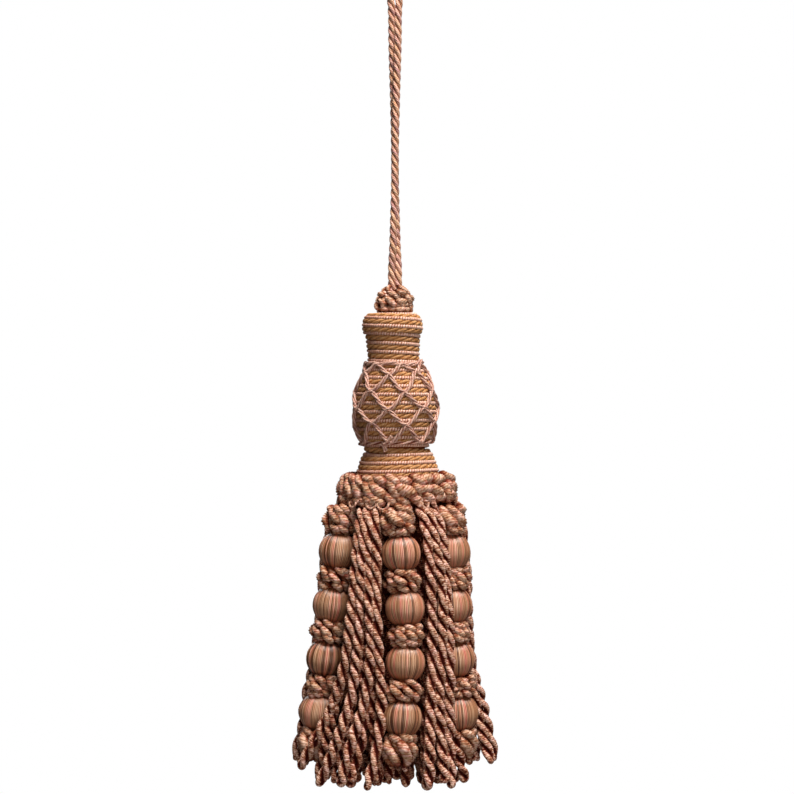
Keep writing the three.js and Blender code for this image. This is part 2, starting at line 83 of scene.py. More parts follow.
# %% [markdown]
# ## Paths
# A yarn follows a path, a row of points. A smooth path through a few given points is a
# Catmull-Rom curve. The centripetal kind is used because it makes no loops at sharp corners, and it is
# the one that the solids were laid on.

# %% Paths through points
def unit(vectors):
    return vectors / np.linalg.norm(vectors, axis=-1, keepdims=True)


def cross_axes(ahead, sideways):
    """Two directions across a path: the one nearest to sideways, and the one square to both."""
    across = unit(sideways - np.sum(sideways * ahead, axis=1, keepdims=True) * ahead)
    return across, np.cross(ahead, across)


def distance_along(path):
    steps = np.linalg.norm(np.diff(path, axis=0), axis=1)
    return np.concatenate([[0.0], np.cumsum(steps)])


def resampled(path, step):
    """The same path with points about one step apart."""
    along = distance_along(path)
    places = np.linspace(0, along[-1], max(2, round(along[-1] / step) + 1))
    return np.stack([np.interp(places, along, path[:, axis]) for axis in range(path.shape[1])], axis=1)


def curve_through(points, samples=24):
    """A centripetal Catmull-Rom curve through the points."""
    points = np.asarray(points, float)
    padded = np.vstack([2 * points[0] - points[1], points, 2 * points[-1] - points[-2]])
    pieces = []
    share = np.linspace(0, 1, samples, endpoint=False)[:, None]
    for first in range(len(points) - 1):
        before, start, end, after = padded[first:first + 4]
        knots = np.cumsum([0] + [math.sqrt(np.linalg.norm(b - a))
                                 for a, b in ((before, start), (start, end), (end, after))])
        t = knots[1] + share * (knots[2] - knots[1])

        def between(low, high, left, right):
            return (left * (high - t) + right * (t - low)) / (high - low)

        a1 = between(knots[0], knots[1], before, start)
        a2 = between(knots[1], knots[2], start, end)
        a3 = between(knots[2], knots[3], end, after)
        b1 = between(knots[0], knots[2], a1, a2)
        b2 = between(knots[1], knots[3], a2, a3)
        pieces.append(between(knots[1], knots[2], b1, b2))
    return np.vstack([*pieces, points[-1:]])


def around(azimuth, radius, level):
    """Points at an azimuth from the front, in degrees towards +X, a distance from the axis and a level."""
    angle = np.radians(azimuth)
    return np.stack(np.broadcast_arrays(radius * np.sin(angle), -radius * np.cos(angle), level), axis=-1)


SCATTER = (12.9898, 78.233, 43758.5453)


def unevenness(first, second):
    """A repeatable number from -1 to 1 for each pair of numbers, the same one that the solids have."""
    wave = math.sin(first * SCATTER[0] + second * SCATTER[1]) * SCATTER[2]
    return 2 * (wave - math.floor(wave)) - 1


corner_path = curve_through([(0, 0, 0), (1, 0, 0), (1, 1, 0)])
print("a curve round a corner of 1 + 1 is", round(distance_along(corner_path)[-1], 3), "long")

# %% [markdown]
# ## Laying a yarn
# A yarn could be a curve object with a round bevel, but its section would stay round. Here a ring of
# points is laid round each point of the path, so the section can swell and the turns of a fine wrapping
# thread can be raised in the mesh. A bundle joins many yarns into one mesh. Its UV map counts the
# wrapping thread's turns along the yarn, and the share of a turn around it, so the material can follow
# them. Each yarn also has a tint, which picks its dye, and a depth, which the material paints in as shade.

# %% A bundle of yarns
class YarnBundle:
    """Yarns joined into one mesh. Lengths are in millimetres until the mesh is made."""

    def __init__(self):
        self.points, self.faces, self.corners = [], [], []
        self.tints, self.depths = [], []
        self.total = 0

    def lay(self, path, radius, sideways, pitch, sides=8, starts=1, ripple=0.0, closed=False,
            follow=False, tint=0.5, depth=0.0):
        """Lays one yarn, wrapped by threads of a pitch and a number of starts, which ripple raises.
        With follow, the mesh's lines run along the threads, so that few rings are enough. The depth, from 0
        to 1, is painted shade for a yarn that lies behind its neighbours."""
        ahead = np.gradient(path, axis=0)
        if closed:
            ahead = np.roll(path, -1, axis=0) - np.roll(path, 1, axis=0)
        across, other = cross_axes(unit(ahead), sideways)
        along = distance_along(np.vstack([path, path[:1]]) if closed else path)
        wraps = along / pitch
        if closed:
            wraps *= max(starts, starts * round(wraps[-1] / starts)) / wraps[-1]
        share = np.arange(sides + 1) / sides - wraps[:, None] / starts * follow
        ring_share = share[:len(path), :sides]
        phase = wraps[:len(path), None] + starts * ring_share
        swell = np.reshape(radius, (-1, 1)) * (1 - ripple * np.cos(TURN * phase))
        angle = (TURN * ring_share + math.pi)[:, :, None]
        ring = np.cos(angle) * across[:, None] + np.sin(angle) * other[:, None]
        self._add(path[:, None] + swell[:, :, None] * ring, wraps, share, closed)
        self.tints.append(np.full(len(path) * sides, tint))
        self.depths.append(np.repeat(np.broadcast_to(depth, len(path)), sides))
        if not closed:
            self._close_ends(path, sides, wraps)

    def _add(self, rings, wraps, share, closed):
        count, sides = rings.shape[:2]
        row = np.arange(count if closed else count - 1)[:, None]
        side = np.arange(sides)[None, :]
        after, next_side = (row + 1) % count, (side + 1) % sides
        quads = np.stack([row * sides + side, row * sides + next_side,
                          after * sides + next_side, after * sides + side], axis=-1)
        ends = [np.broadcast_arrays(wraps[row + i], share[row + i, side + j])
                for i, j in ((0, 0), (0, 1), (1, 1), (1, 0))]
        self.first = self.total
        self.points.append(rings.reshape(-1, 3))
        self.faces.append(quads.reshape(-1, 4) + self.total)
        self.corners.append(np.stack([np.stack(end, axis=-1) for end in ends], axis=-2).reshape(-1, 4, 2))
        self.total += count * sides

    def _close_ends(self, path, sides, wraps):
        """Closes both ends with a fan of triangles round a middle point."""
        side = np.arange(sides)
        last_ring = self.total - sides
        for ring, middle, wrap, forward in ((self.first, path[0], wraps[0], False),
                                            (last_ring, path[-1], wraps[-1], True)):
            edge = np.stack([ring + side, ring + (side + 1) % sides], axis=1)
            edge = edge if forward else edge[:, ::-1]
            self.faces.append(np.column_stack([edge, np.full(sides, self.total)]))
            self.corners.append(np.full((sides, 3, 2), (wrap, 0.5)))
            self.points.append(middle[None])
            self.tints.append(self.tints[-1][:1])
            self.depths.append(self.depths[-1][-1:])
            self.total += 1

    def make(self, name, material, slot, nodes):
        """Makes the piece, which stands for the named solids."""
        mesh = bpy.data.meshes.new(name)
        sizes = np.concatenate([np.full(len(face), face.shape[1]) for face in self.faces])
        starts = np.concatenate([[0], np.cumsum(sizes)[:-1]])
        mesh.vertices.add(self.total)
        mesh.vertices.foreach_set("co", (np.vstack(self.points) * MM).astype(np.float32).ravel())
        mesh.loops.add(int(sizes.sum()))
        corners = np.concatenate([face.ravel() for face in self.faces])
        mesh.loops.foreach_set("vertex_index", corners.astype(np.int32))
        mesh.polygons.add(len(sizes))
        mesh.polygons.foreach_set("loop_start", starts.astype(np.int32))
        mesh.update(calc_edges=True)
        mesh.polygons.foreach_set("use_smooth", np.ones(len(sizes), bool))
        layer = mesh.uv_layers.new(name="yarn")
        turns = np.concatenate([corner.ravel() for corner in self.corners])
        layer.data.foreach_set("uv", turns.astype(np.float32))
        for label, values in (("tint", self.tints), ("depth", self.depths)):
            attribute = mesh.attributes.new(label, "FLOAT", "POINT")
            attribute.data.foreach_set("value", np.concatenate(values).astype(np.float32))
        mesh.materials.append(material)
        piece = dressing(name, mesh, nodes)
        count = int((sizes - 2).sum())
        TRIANGLES.append(count)
        print(name, "triangles:", count)
        return piece


def dressing(name, mesh, nodes):
    """A piece that the tassel wears in place of the named solids."""
    piece = placed(name, mesh)
    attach(piece, "root")
    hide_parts(*nodes)
    return piece


TRIANGLES = []
trial = YarnBundle()
trial.lay(resampled(corner_path, 0.05), 0.1, np.array([0.0, 0.0, 1.0]), pitch=0.3)
print("points of a trial yarn:", trial.total)

# %% [markdown]
# ## Twisting plies together
# A cord is two or more plies that turn round one line. A screw modifier could twist them, but only about
# a straight line, so each ply is a yarn on a helix about the cord's path. The plies slant down to the
# right when the cord hangs, which is a negative pitch. A knotted ring is a thick roll that goes round a
# circle several times. It closes the collar, the ruffs and the top knot behind what shows of them. If it
# turns about the circle's line it is a rope, and if it also weaves in and out it is a plait.

# %% Plies and knotted rings
def lay_plies(bundle, path, sideways, tints, lay_radius, pitch, yarn):
    """Lays a cord: a ply for each tint, on a helix about the path."""
    across, other = cross_axes(unit(np.gradient(path, axis=0)), sideways)
    along = distance_along(path)
    for ply, tint in enumerate(tints):
        angle = TURN * (ply / len(tints) + along / pitch)[:, None]
        out = np.cos(angle) * across + np.sin(angle) * other
        bundle.lay(path + lay_radius * out, sideways=out, tint=tint, **yarn)


def wobble(draws, angle, reach, waves=6):
    """A smooth unevenness that closes after a full turn of the angle."""
    total = np.zeros_like(angle)
    for wave in range(1, waves + 1):
        total += draws.normal(0, reach / math.sqrt(waves)) * np.cos(wave * angle + draws.uniform(0, TURN))
    return total


ROLL_YARNS = 6
SIDES_PER_YARN = 2
ROLL_PITCH = 0.8
ROLL_RIPPLE = 0.13
RING_STEP = 0.48
LEAST_RING_POINTS = 24
SWELL_UNEVEN = 0.25
# Painted shade of a ring's rolls: a base, more where a roll dives in under the others, and the most it gets.
RING_SHADE = 0.1
WOVEN_SHADE = 0.6
MOST_RING_SHADE = 0.8
# A ring's level and radius, the depth and the height of its section, its roll's radius, how many strands lie
# side by side, how many rolls cross its face, how far behind others it lies, which is painted in as shade,
# how uneven and how plaited it is, and the yarns in a roll.
Ring = namedtuple("Ring", "level radius depth height roll strands rolls behind uneven plait yarns",
                  defaults=(0.65, 0.1, 0.0, ROLL_YARNS))


def knotted_ring(bundle, draws, centre, axes, ring):
    """A ring of a twisted roll. Its rolls cross the outer face, and its strands lie side by side."""
    out, side, up = axes
    centre = centre + ring.level * up
    yarns = math.gcd(ring.rolls, ring.strands)
    circuits = ring.strands // yarns
    turns = ring.rolls / ring.strands
    girth = math.hypot(ring.radius, turns * math.hypot(ring.depth, ring.height) / math.sqrt(2))
    count = max(LEAST_RING_POINTS, round(circuits * TURN * girth / RING_STEP))
    circuit = TURN * np.arange(count) / count
    start = draws.uniform(0, TURN)
    for yarn in range(yarns):
        place = circuits * circuit + wobble(draws, circuit, ring.uneven / ring.radius)
        radial = np.cos(place)[:, None] * out + np.sin(place)[:, None] * side
        twist = start + TURN * yarn / ring.strands - turns * circuits * circuit
        twist = twist + wobble(draws, circuit, ring.uneven / ring.height)
        woven = (1 - ring.plait) * np.cos(twist) + ring.plait * np.sin(2 * twist)
        reach = ring.radius + ring.depth * woven + wobble(draws, circuit, ring.uneven)
        rise = ring.height * np.sin(twist) + wobble(draws, circuit, ring.uneven)
        path = centre + reach[:, None] * radial + rise[:, None] * up
        away = np.cos(twist)[:, None] * radial + np.sin(twist)[:, None] * up
        away = away + ring.plait * 2 * radial
        swell = ring.roll + wobble(draws, circuit, SWELL_UNEVEN * ring.uneven)
        # Painted shade: darker where the roll dives in under the others, and for rings further behind.
        depth = np.clip(ring.behind + RING_SHADE - WOVEN_SHADE * woven, 0, MOST_RING_SHADE)
        bundle.lay(path, swell, away, ROLL_PITCH, ring.yarns * SIDES_PER_YARN, starts=ring.yarns,
                   ripple=ROLL_RIPPLE, closed=True, follow=True, tint=draws.uniform(0, 1), depth=depth)


print("sides of a roll:", ROLL_YARNS * SIDES_PER_YARN)

# %% [markdown]
# ## Fat rolls
# The collar and the ruffs are knotted from thick gimp, and what shows of a knot is a crowd of short fat
# rolls. Tying real knots in code would be long work for what stays hidden, so only the rolls are made, with
# plain rings behind them. Each roll lies on the outside of a round form, slanting down to the right, bulges
# in the middle and dips under its neighbours at both ends. It also slips a little from its place, as
# handwork does.

# %% Fat rolls
ROLL_TUCK = 1.3
ROLL_THINNING = 0.5
# How much darker a roll's tucked ends are painted, as painted shade.
ROLL_END_SHADE = 1.0
ROLL_SLIP = {"slope": 9.0, "level": 0.3, "aside": 0.5, "reach": 0.3, "swell": 0.1}
# A row's middle level, its number of rolls, their slope in degrees, length and radius, and where round the
# form the row starts and ends, in degrees.
Rolls = namedtuple("Rolls", "level count slope length radius start end", defaults=(0, 360))
# A knot's outline, as levels and radii, its rows of rolls, the rings behind them, and how ragged it is.
Knot = namedtuple("Knot", "outline rows rings ragged", defaults=(1.0,))


def fat_roll(bundle, draws, centre, axes, knot, row, azimuth):
    """One roll on the outside of a knot. Its middle is full, and its ends are thin and tucked in."""
    out, side, up = axes
    share = np.linspace(-0.5, 0.5, round(row.length / RING_STEP))
    tucked = (2 * np.abs(share)) ** 4
    slope = math.radians(row.slope + draws.normal(0, ROLL_SLIP["slope"]) * knot.ragged)
    level = row.level + draws.normal(0, ROLL_SLIP["level"]) - share * row.length * math.sin(slope)
    levels, radii = np.array(knot.outline).T
    reach = np.interp(level, levels, radii) - row.radius - ROLL_TUCK * tucked
    reach = reach + draws.normal(0, ROLL_SLIP["reach"])
    aside = draws.normal(0, ROLL_SLIP["aside"]) + share * row.length * math.cos(slope)
    angle = math.radians(azimuth) + aside / np.mean(reach)
    radial = np.cos(angle)[:, None] * out + np.sin(angle)[:, None] * side
    path = centre + reach[:, None] * radial + level[:, None] * up
    swell = row.radius * draws.uniform(1 - ROLL_SLIP["swell"], 1 + ROLL_SLIP["swell"])
    # The tucked ends are painted darker, as painted shade.
    bundle.lay(path, swell * (1 - ROLL_THINNING * tucked), radial, ROLL_PITCH, ROLL_YARNS * SIDES_PER_YARN,
               starts=ROLL_YARNS, ripple=ROLL_RIPPLE, follow=True, tint=draws.uniform(0, 1),
               depth=ROLL_END_SHADE * tucked)


def lay_knot(bundle, draws, centre, axes, knot, turned=0.0):
    """Rows of rolls, and the rings behind them. The more ragged a knot is, the less its slopes agree."""
    for row in knot.rows:
        step = (row.end - row.start) / row.count
        for place in range(row.count):
            azimuth = turned + row.start + (place + 0.5) * step
            fat_roll(bundle, draws, centre, axes, knot, row, azimuth)
    for ring in knot.rings:
        knotted_ring(bundle, draws, centre, axes, ring)


print("the ends of a roll dip by", ROLL_TUCK, "mm")

# %% [markdown]
# ## The yarn finish
# Every yarn here shows threads that wrap or twist round it, so all the yarn materials share one node
# group. It reads the UV map's turns, makes a rounded ridge of each thread, and gives each thread one of
# three dyes. The hollows between threads, the side of a ply that lies against its neighbours and a yarn
# that lies behind others are painted darker, as painted shade. The painted shade also makes the dye deeper,
# not only darker, as painted light that has bounced from fibre to fibre, which a Gamma node does and a plain
# mix with brown doesn't. The group puts out a colour and a height, and each material keeps its own shader.

# %% Node helpers
def srgb(code):
    """A colour written as six hex digits, as the shader's linear values."""
    parts = [int(code[place:place + 2], 16) / 255 for place in (0, 2, 4)]
    return [((part + 0.055) / 1.055) ** 2.4 for part in parts] + [1.0]


def feed(tree, node, inputs):
    """Links inputs of a node, given by their names or places, to other sockets, or sets their values."""
    for key, value in inputs.items():
        if isinstance(value, bpy.types.NodeSocket):
            tree.links.new(value, node.inputs[key])
        else:
            node.inputs[key].default_value = value


def new_node(tree, kind, inputs=None, **settings):
    """A node with its settings made and its inputs linked or set."""
    node = tree.nodes.new(kind)
    for name, value in settings.items():
        setattr(node, name, value)
    feed(tree, node, inputs or {})
    return node


def calculate(tree, operation, *values, clamp=False):
    inputs = dict(enumerate(values))
    return new_node(tree, "ShaderNodeMath", inputs, operation=operation, use_clamp=clamp).outputs[0]


def scaled(tree, value, factor, plus=0.0, clamp=False):
    return calculate(tree, "MULTIPLY_ADD", value, factor, plus, clamp=clamp)


# The places of a Mix node's colour sockets, which share their names with its other kinds of sockets.
FIRST_COLOUR, SECOND_COLOUR, MIXED_COLOUR = 6, 7, 2


def mixed(tree, factor, first, second):
    inputs = {"Factor": factor, FIRST_COLOUR: first, SECOND_COLOUR: second}
    return new_node(tree, "ShaderNodeMix", inputs, data_type="RGBA").outputs[MIXED_COLOUR]


def chance(tree, value):
    """A fixed random number for each whole value."""
    return new_node(tree, "ShaderNodeTexWhiteNoise", {"W": value}, noise_dimensions="1D").outputs["Value"]


def drift(tree, first, second):
    """A slow change over two values, from 0 to 1."""
    place = new_node(tree, "ShaderNodeCombineXYZ", {"X": first, "Y": second}).outputs[0]
    inputs = {"Vector": place, "Scale": 1.0, "Detail": 2.0}
    return new_node(tree, "ShaderNodeTexNoise", inputs, noise_dimensions="2D").outputs["Fac"]


def three_dyes(tree, pick, first, second, third):
    """A colour that goes from the first dye by way of the second to the third."""
    lower = mixed(tree, scaled(tree, pick, 2.0, clamp=True), first, second)
    return mixed(tree, scaled(tree, pick, 2.0, -1.0, clamp=True), lower, third)


def shaded(tree, shade, dye, dark, reach):
    """A dye painted deeper where the shade mask is high, as painted bounce light from fibre to fibre, and
    then mixed to the painted shade colour.
    """
    inputs = {"Color": dye, "Gamma": scaled(tree, shade, reach, 1.0)}
    return mixed(tree, shade, new_node(tree, "ShaderNodeGamma", inputs).outputs[0], dark)


def centred(tree, value):
    """From -1 to 1 over each whole step of a value."""
    return scaled(tree, calculate(tree, "FRACT", value), 2.0, -1.0)


def hollow_of(tree, phase):
    """From 0 on a thread's ridge to 1 in the hollow beside it."""
    across = centred(tree, phase)
    return scaled(tree, across, across)


print("a middle grey in linear values:", round(srgb("808080")[0], 3))

# %% Yarn node group
def new_group(name, floats, colours):
    """An empty shader group with named inputs, and a colour and a height as outputs."""
    group = bpy.data.node_groups.new(name, "ShaderNodeTree")
    for way, kind, labels in (("INPUT", "Float", floats), ("INPUT", "Color", colours),
                              ("OUTPUT", "Color", ["Color"]), ("OUTPUT", "Float", ["Height"])):
        for label in labels:
            group.interface.new_socket(label, in_out=way, socket_type="NodeSocket" + kind)
    return group, group.nodes.new("NodeGroupInput").outputs, group.nodes.new("NodeGroupOutput")


def surface_values(group):
    """The turns along the yarn, the share of a turn around it, and the yarn's tint and depth, which is
    painted shade.
    """
    uv = new_node(group, "ShaderNodeUVMap", uv_map="yarn").outputs[0]
    split = new_node(group, "ShaderNodeSeparateXYZ", {"Vector": uv}).outputs
    own = [new_node(group, "ShaderNodeAttribute", attribute_name=label).outputs["Fac"]
           for label in ("tint", "depth")]
    return split["X"], split["Y"], *own


# How much the painted shade deepens a dye.
YARN_DEEPENING = 2.4
# Factors of the tint that part each yarn's pattern from the next one's.
APART = {"bend": 61.0, "thread": 511.0, "patch": 97.0, "bead": 733.0}
PATCHES_AROUND = 4.0
PATCHES_ALONG = 0.9
FIBRES_ACROSS = 7.0
FIBRES_ALONG = 1.7
FIBRE_HEIGHT = 0.4
# A factor and what is added after it.
FIBRE_SHADE = (0.7, -0.3)
INNER_SIDE = (2.2, -0.85)
SPECK_EDGE = (3.0, -1.5)


def make_wrapped_yarn():
    group, given, made = new_group(
        "wrapped yarn", ["Starts", "Variety", "Hollow", "Inside", "Specks", "Waver"],
        ["First", "Second", "Third", "Painted Shade"])
    turns, share, tint, depth = surface_values(group)
    around_yarn = scaled(group, share, PATCHES_AROUND)
    bent = drift(group, scaled(group, tint, APART["bend"], turns), around_yarn)
    phase = scaled(group, bent, given["Waver"], turns)
    phase = scaled(group, share, given["Starts"], phase)
    hollow = hollow_of(group, phase)
    thread = scaled(group, tint, APART["thread"], calculate(group, "FLOOR", phase))
    own = calculate(group, "SUBTRACT", chance(group, thread), tint)
    pick = scaled(group, own, given["Variety"], tint)
    dye = three_dyes(group, pick, given["First"], given["Second"], given["Third"])
    fibre = drift(group, scaled(group, phase, FIBRES_ACROSS), scaled(group, turns, FIBRES_ALONG))
    # Painted shade from the hollows between threads, the side of a ply that lies against its neighbours and
    # the yarn's depth, with random fibres and specks of tone, darkens and deepens the dye.
    inside = calculate(group, "ABSOLUTE", centred(group, share))
    painted_inner_shade = scaled(group, inside, *INNER_SIDE, clamp=True)
    shade = scaled(group, hollow, given["Hollow"], depth)
    shade = scaled(group, painted_inner_shade, given["Inside"], shade)
    shade = calculate(group, "ADD", shade, scaled(group, fibre, *FIBRE_SHADE))
    along_yarn = scaled(group, tint, APART["patch"], scaled(group, turns, PATCHES_ALONG))
    speck = scaled(group, drift(group, along_yarn, around_yarn), *SPECK_EDGE)
    shade = scaled(group, speck, given["Specks"], shade, clamp=True)
    colour = shaded(group, shade, dye, given["Painted Shade"], YARN_DEEPENING)
    ridge = calculate(group, "SUBTRACT", scaled(group, fibre, FIBRE_HEIGHT), hollow)
    feed(group, made, {"Color": colour, "Height": ridge})
    return group


WRAPPED_YARN = make_wrapped_yarn()
print("yarn group nodes:", len(WRAPPED_YARN.nodes))

# %% Yarn materials
BUMP_STRENGTH = 0.8
YARN_SPECULAR = 0.08


def material_from(name, group, values, roughness, bump, specular, shine=(1.0, 1.0, 1.0, 1.0)):
    """A material whose colour and relief come from a node group."""
    material = bpy.data.materials.new(name)
    material.use_nodes = True
    tree = material.node_tree
    look = new_node(tree, "ShaderNodeGroup", values, node_tree=group).outputs
    relief = {"Height": look["Height"], "Distance": bump * MM, "Strength": BUMP_STRENGTH}
    normal = new_node(tree, "ShaderNodeBump", relief).outputs["Normal"]
    feed(tree, tree.nodes["Principled BSDF"], {
        "Base Color": look["Color"], "Normal": normal, "Roughness": roughness,
        "Specular IOR Level": specular, "Specular Tint": shine,
    })
    return material


# Hollow and inside set how strongly the hollows between threads and the side of a ply against its neighbours
# are painted darker, as painted shade; the last of the colours is the painted shade colour.
def yarn_material(name, dyes_and_shade, starts, variety, hollow=0.55, inside=0.8, specks=0.15, waver=0.3,
                  roughness=0.75, bump=0.09):
    values = {"Starts": starts, "Variety": variety, "Hollow": hollow, "Inside": inside, "Specks": specks,
              "Waver": waver}
    values.update(zip(("First", "Second", "Third", "Painted Shade"), map(srgb, dyes_and_shade)))
    return material_from(name, WRAPPED_YARN, values, roughness, bump, YARN_SPECULAR)


LOOP_CORD = yarn_material("loop cord", ("f4cbba", "f2cdae", "dab0ae", "5e2412"), 5, 0.3)
OCHRE_CORD = yarn_material("ochre cord", ("cca074", "d2a678", "be9464", "6e300e"), 5, 0.5, hollow=0.35,
                           inside=0.5)
SALMON_GIMP = yarn_material("salmon gimp", ("e8c4b2", "eac8b6", "dab29c", "6e2c10"), 1, 0.5, hollow=0.7)
ROSE_YARN = yarn_material("rose yarn", ("e6c2b4", "e8c8b6", "d2aca0", "5e2416"), 4, 0.5, roughness=0.85)
KNOTTED = {"starts": ROLL_YARNS, "variety": 0.9, "specks": 0.35, "waver": 0.7, "bump": 0.14}
TRIM_GIMP = yarn_material("trim gimp", ("e0b2a4", "dcb89e", "ba9272", "5e1808"), hollow=0.35, **KNOTTED)
KNOT_GIMP = yarn_material("knot gimp", ("e2bcac", "debfa6", "c8a286", "782e14"), hollow=0.3, **KNOTTED)
BULLION_GIMP = yarn_material("bullion gimp", ("eec4b6", "e0b8a0", "be9478", "440c04"), 3, 0.8, hollow=0.6,
                             inside=1.6, specks=0.6, waver=1.4, bump=0.2)
print("yarn materials:", len(bpy.data.materials))

# %% [markdown]
# ## The hanging loop
# A tassel for a key hangs from a doubled cord of three plies, of rose, tan and mauve yarn. A curve with a
# bevel would have no plies, so each one is laid. The two legs wind half round each other, and the bend at
# the top is a plain one. The route's points are those of the solid, and its ends go on into the knot.

# %% Hanging loop
LOOP_LEG = [
    (-1.33, 0.0, -102.6), (-1.3, -0.25, -97.0), (-0.85, -1.02, -91.0), (-0.6, -1.19, -85.0),
    (-0.3, -1.3, -78.0), (0.0, -1.33, -68.0), (0.1, -1.33, -60.0), (0.35, -1.28, -51.5),
    (0.65, -1.16, -43.0), (0.98, -0.9, -35.0), (1.22, -0.53, -27.5), (1.33, -0.15, -20.5),
    (1.5, 0.0, -15.5), (3.5, 0.0, -11.0), (5.0, 0.0, -6.2), (4.35, 0.0, -1.6), (2.3, 0.0, 0.65),
]
LOOP_CROWN = (0.0, 0.0, 1.18)
LOOP_TAIL = (-1.33, 0.0, -105.5)
LOOP_PITCH = -8.3
LOOP_LAY = 0.62
LOOP_PLY = {"radius": 0.57, "pitch": 1.5, "sides": 10, "starts": 5}
LOOP_TINTS = (0.05, 0.5, 0.95)
LOOP_STEP = 0.45
LEGS_MEET = -16.0
LEGS_CLOSER = 0.74


def hanging_loop():
    leg = [LOOP_TAIL] + LOOP_LEG
    leg = [(x * LEGS_CLOSER, y * LEGS_CLOSER, z) if z < LEGS_MEET else (x, y, z) for x, y, z in leg]
    other_leg = [(-x, -y, z) for x, y, z in reversed(leg)]
    route = resampled(curve_through(leg + [LOOP_CROWN] + other_leg), LOOP_STEP)
    bundle = YarnBundle()
    lay_plies(bundle, route, np.array([0.0, 1.0, 0.0]), LOOP_TINTS, LOOP_LAY, LOOP_PITCH, LOOP_PLY)
    piece = bundle.make("loop_cord", LOOP_CORD, "loop_cord", ["hanging_loop"])


hanging_loop()

# %% [markdown]
# ## The top knot
# Where the cord enters the head sits a small ragged knot of thin gimp. It is made of rows of short rolls
# that get smaller towards the top. They are far less even than those of the collar, so some stick out.

# %% Top knot
LEVEL_AXES = np.array([(0, -1, 0), (1, 0, 0), (0, 0, 1)], float)
TOP_KNOT = Knot(
    outline=[(-110.2, 5.5), (-108.6, 5.9), (-106.6, 5.7), (-104.8, 5.3), (-103.4, 4.2), (-102.6, 3.0)],
    rows=[
        Rolls(-109.4, 12, 14, 3.6, 0.68),
        Rolls(-107.8, 11, 32, 3.8, 0.72),
        Rolls(-106.2, 10, 24, 3.6, 0.72),
        Rolls(-104.6, 8, 36, 3.4, 0.68),
        Rolls(-103.4, 5, 40, 2.8, 0.6),
    ],
    rings=[
        Ring(-108.6, 3.0, 1.1, 1.0, 0.8, 3, 7, 0.3, 0.2, 0.3, 5),
        Ring(-106.0, 2.7, 1.1, 1.2, 0.8, 3, 7, 0.3, 0.2, 0.3, 5),
    ],
    ragged=3.0,
)


def top_knot():
    bundle = YarnBundle()
    lay_knot(bundle, np.random.default_rng(4), np.zeros(3), LEVEL_AXES, TOP_KNOT)
    bundle.make("top_knot_rings", KNOT_GIMP, "gimp_trim", ["top_knot"])


top_knot()

# %% [markdown]
# ## The wound head
# The head is a turned form covered by two cords wound side by side: a thick ochre one of three plies
# and a thin salmon gimp. A stack of rings would look much the same, but would not climb as a winding does.
# So each cord is one route, laid by distance along the outline rather than by level, and its turns stay
# even over the cap and the belly. The head leans a little to the left, as in the photograph, so its pieces
# go through one turn about the base.

# %% Head outline and lean
HEAD_OUTLINE = [
    (-158.1, 12.5), (-156.0, 11.9), (-153.2, 10.9), (-151.2, 9.8), (-148.6, 10.8), (-145.5, 11.8),
    (-142.0, 12.3), (-138.9, 12.5), (-135.2, 12.0), (-132.0, 11.0), (-129.0, 9.8), (-126.5, 8.5),
    (-124.5, 7.9), (-120.0, 8.1), (-117.2, 8.4), (-115.8, 9.1), (-113.3, 9.1), (-111.6, 8.5),
    (-110.45, 7.2),
]
HEAD_BASE = -158.1
HEAD_LEAN = math.radians(-1.9)
SKIRT_AXIS = np.array([0.7, 0, 0])
FOOT_RADIUS = 9.5
FOOT_BOTTOM = -170.4


def leaned(points):
    """The head's lean about its base, and its place on the skirt's axis."""
    x, y, z = points[..., 0], points[..., 1], points[..., 2] - HEAD_BASE
    turned_x = x * math.cos(HEAD_LEAN) + z * math.sin(HEAD_LEAN)
    turned_z = -x * math.sin(HEAD_LEAN) + z * math.cos(HEAD_LEAN)
    return np.stack([turned_x, y, turned_z + HEAD_BASE], axis=-1) + SKIRT_AXIS


def head_radius(level):
    return np.interp(level, *np.array(HEAD_OUTLINE).T)


print("head's height in mm:", round(HEAD_OUTLINE[-1][0] - HEAD_BASE, 1))

# %% Head core
def spun(profile, steps):
    """A form turned about Z from rows of (radius, level), as a bmesh."""
    form = bmesh.new()
    corners = [form.verts.new((radius * MM, 0, level * MM)) for radius, level in profile]
    edges = [form.edges.new(pair) for pair in zip(corners, corners[1:])]
    bmesh.ops.spin(form, geom=corners + edges, cent=(0, 0, 0), axis=(0, 0, 1), angle=TURN,
                   steps=steps, use_merge=True)
    bmesh.ops.remove_doubles(form, verts=form.verts, dist=1e-6)
    bmesh.ops.recalc_face_normals(form, faces=form.faces)
    return form


def mesh_of(form, name, material):
    """A mesh from a bmesh, which is freed."""
    mesh = bpy.data.meshes.new(name)
    form.to_mesh(mesh)
    form.free()
    mesh.materials.append(material)
    return mesh


CORE_DEPTH = 1.35
CORE_FOOT = [(0, FOOT_BOTTOM), (FOOT_RADIUS, FOOT_BOTTOM), (FOOT_RADIUS, HEAD_BASE - 0.4)]
CORE_TOP = [(6.0, -111.4), (0, -111.4)]
CORE_STEPS = 48


def head_core():
    side = [(radius - CORE_DEPTH, level) for level, radius in HEAD_OUTLINE[:-1]]
    form = spun(CORE_FOOT + side + CORE_TOP, CORE_STEPS)
    for corner in form.verts:
        corner.co = leaned(np.array(corner.co) / MM) * MM
    mesh = mesh_of(form, "head_core", OCHRE_CORD)
    mesh.polygons.foreach_set("use_smooth", np.ones(len(mesh.polygons), bool))
    dressing("head_core", mesh, ["wound_head"])
    print("head_core faces:", len(mesh.polygons))


head_core()

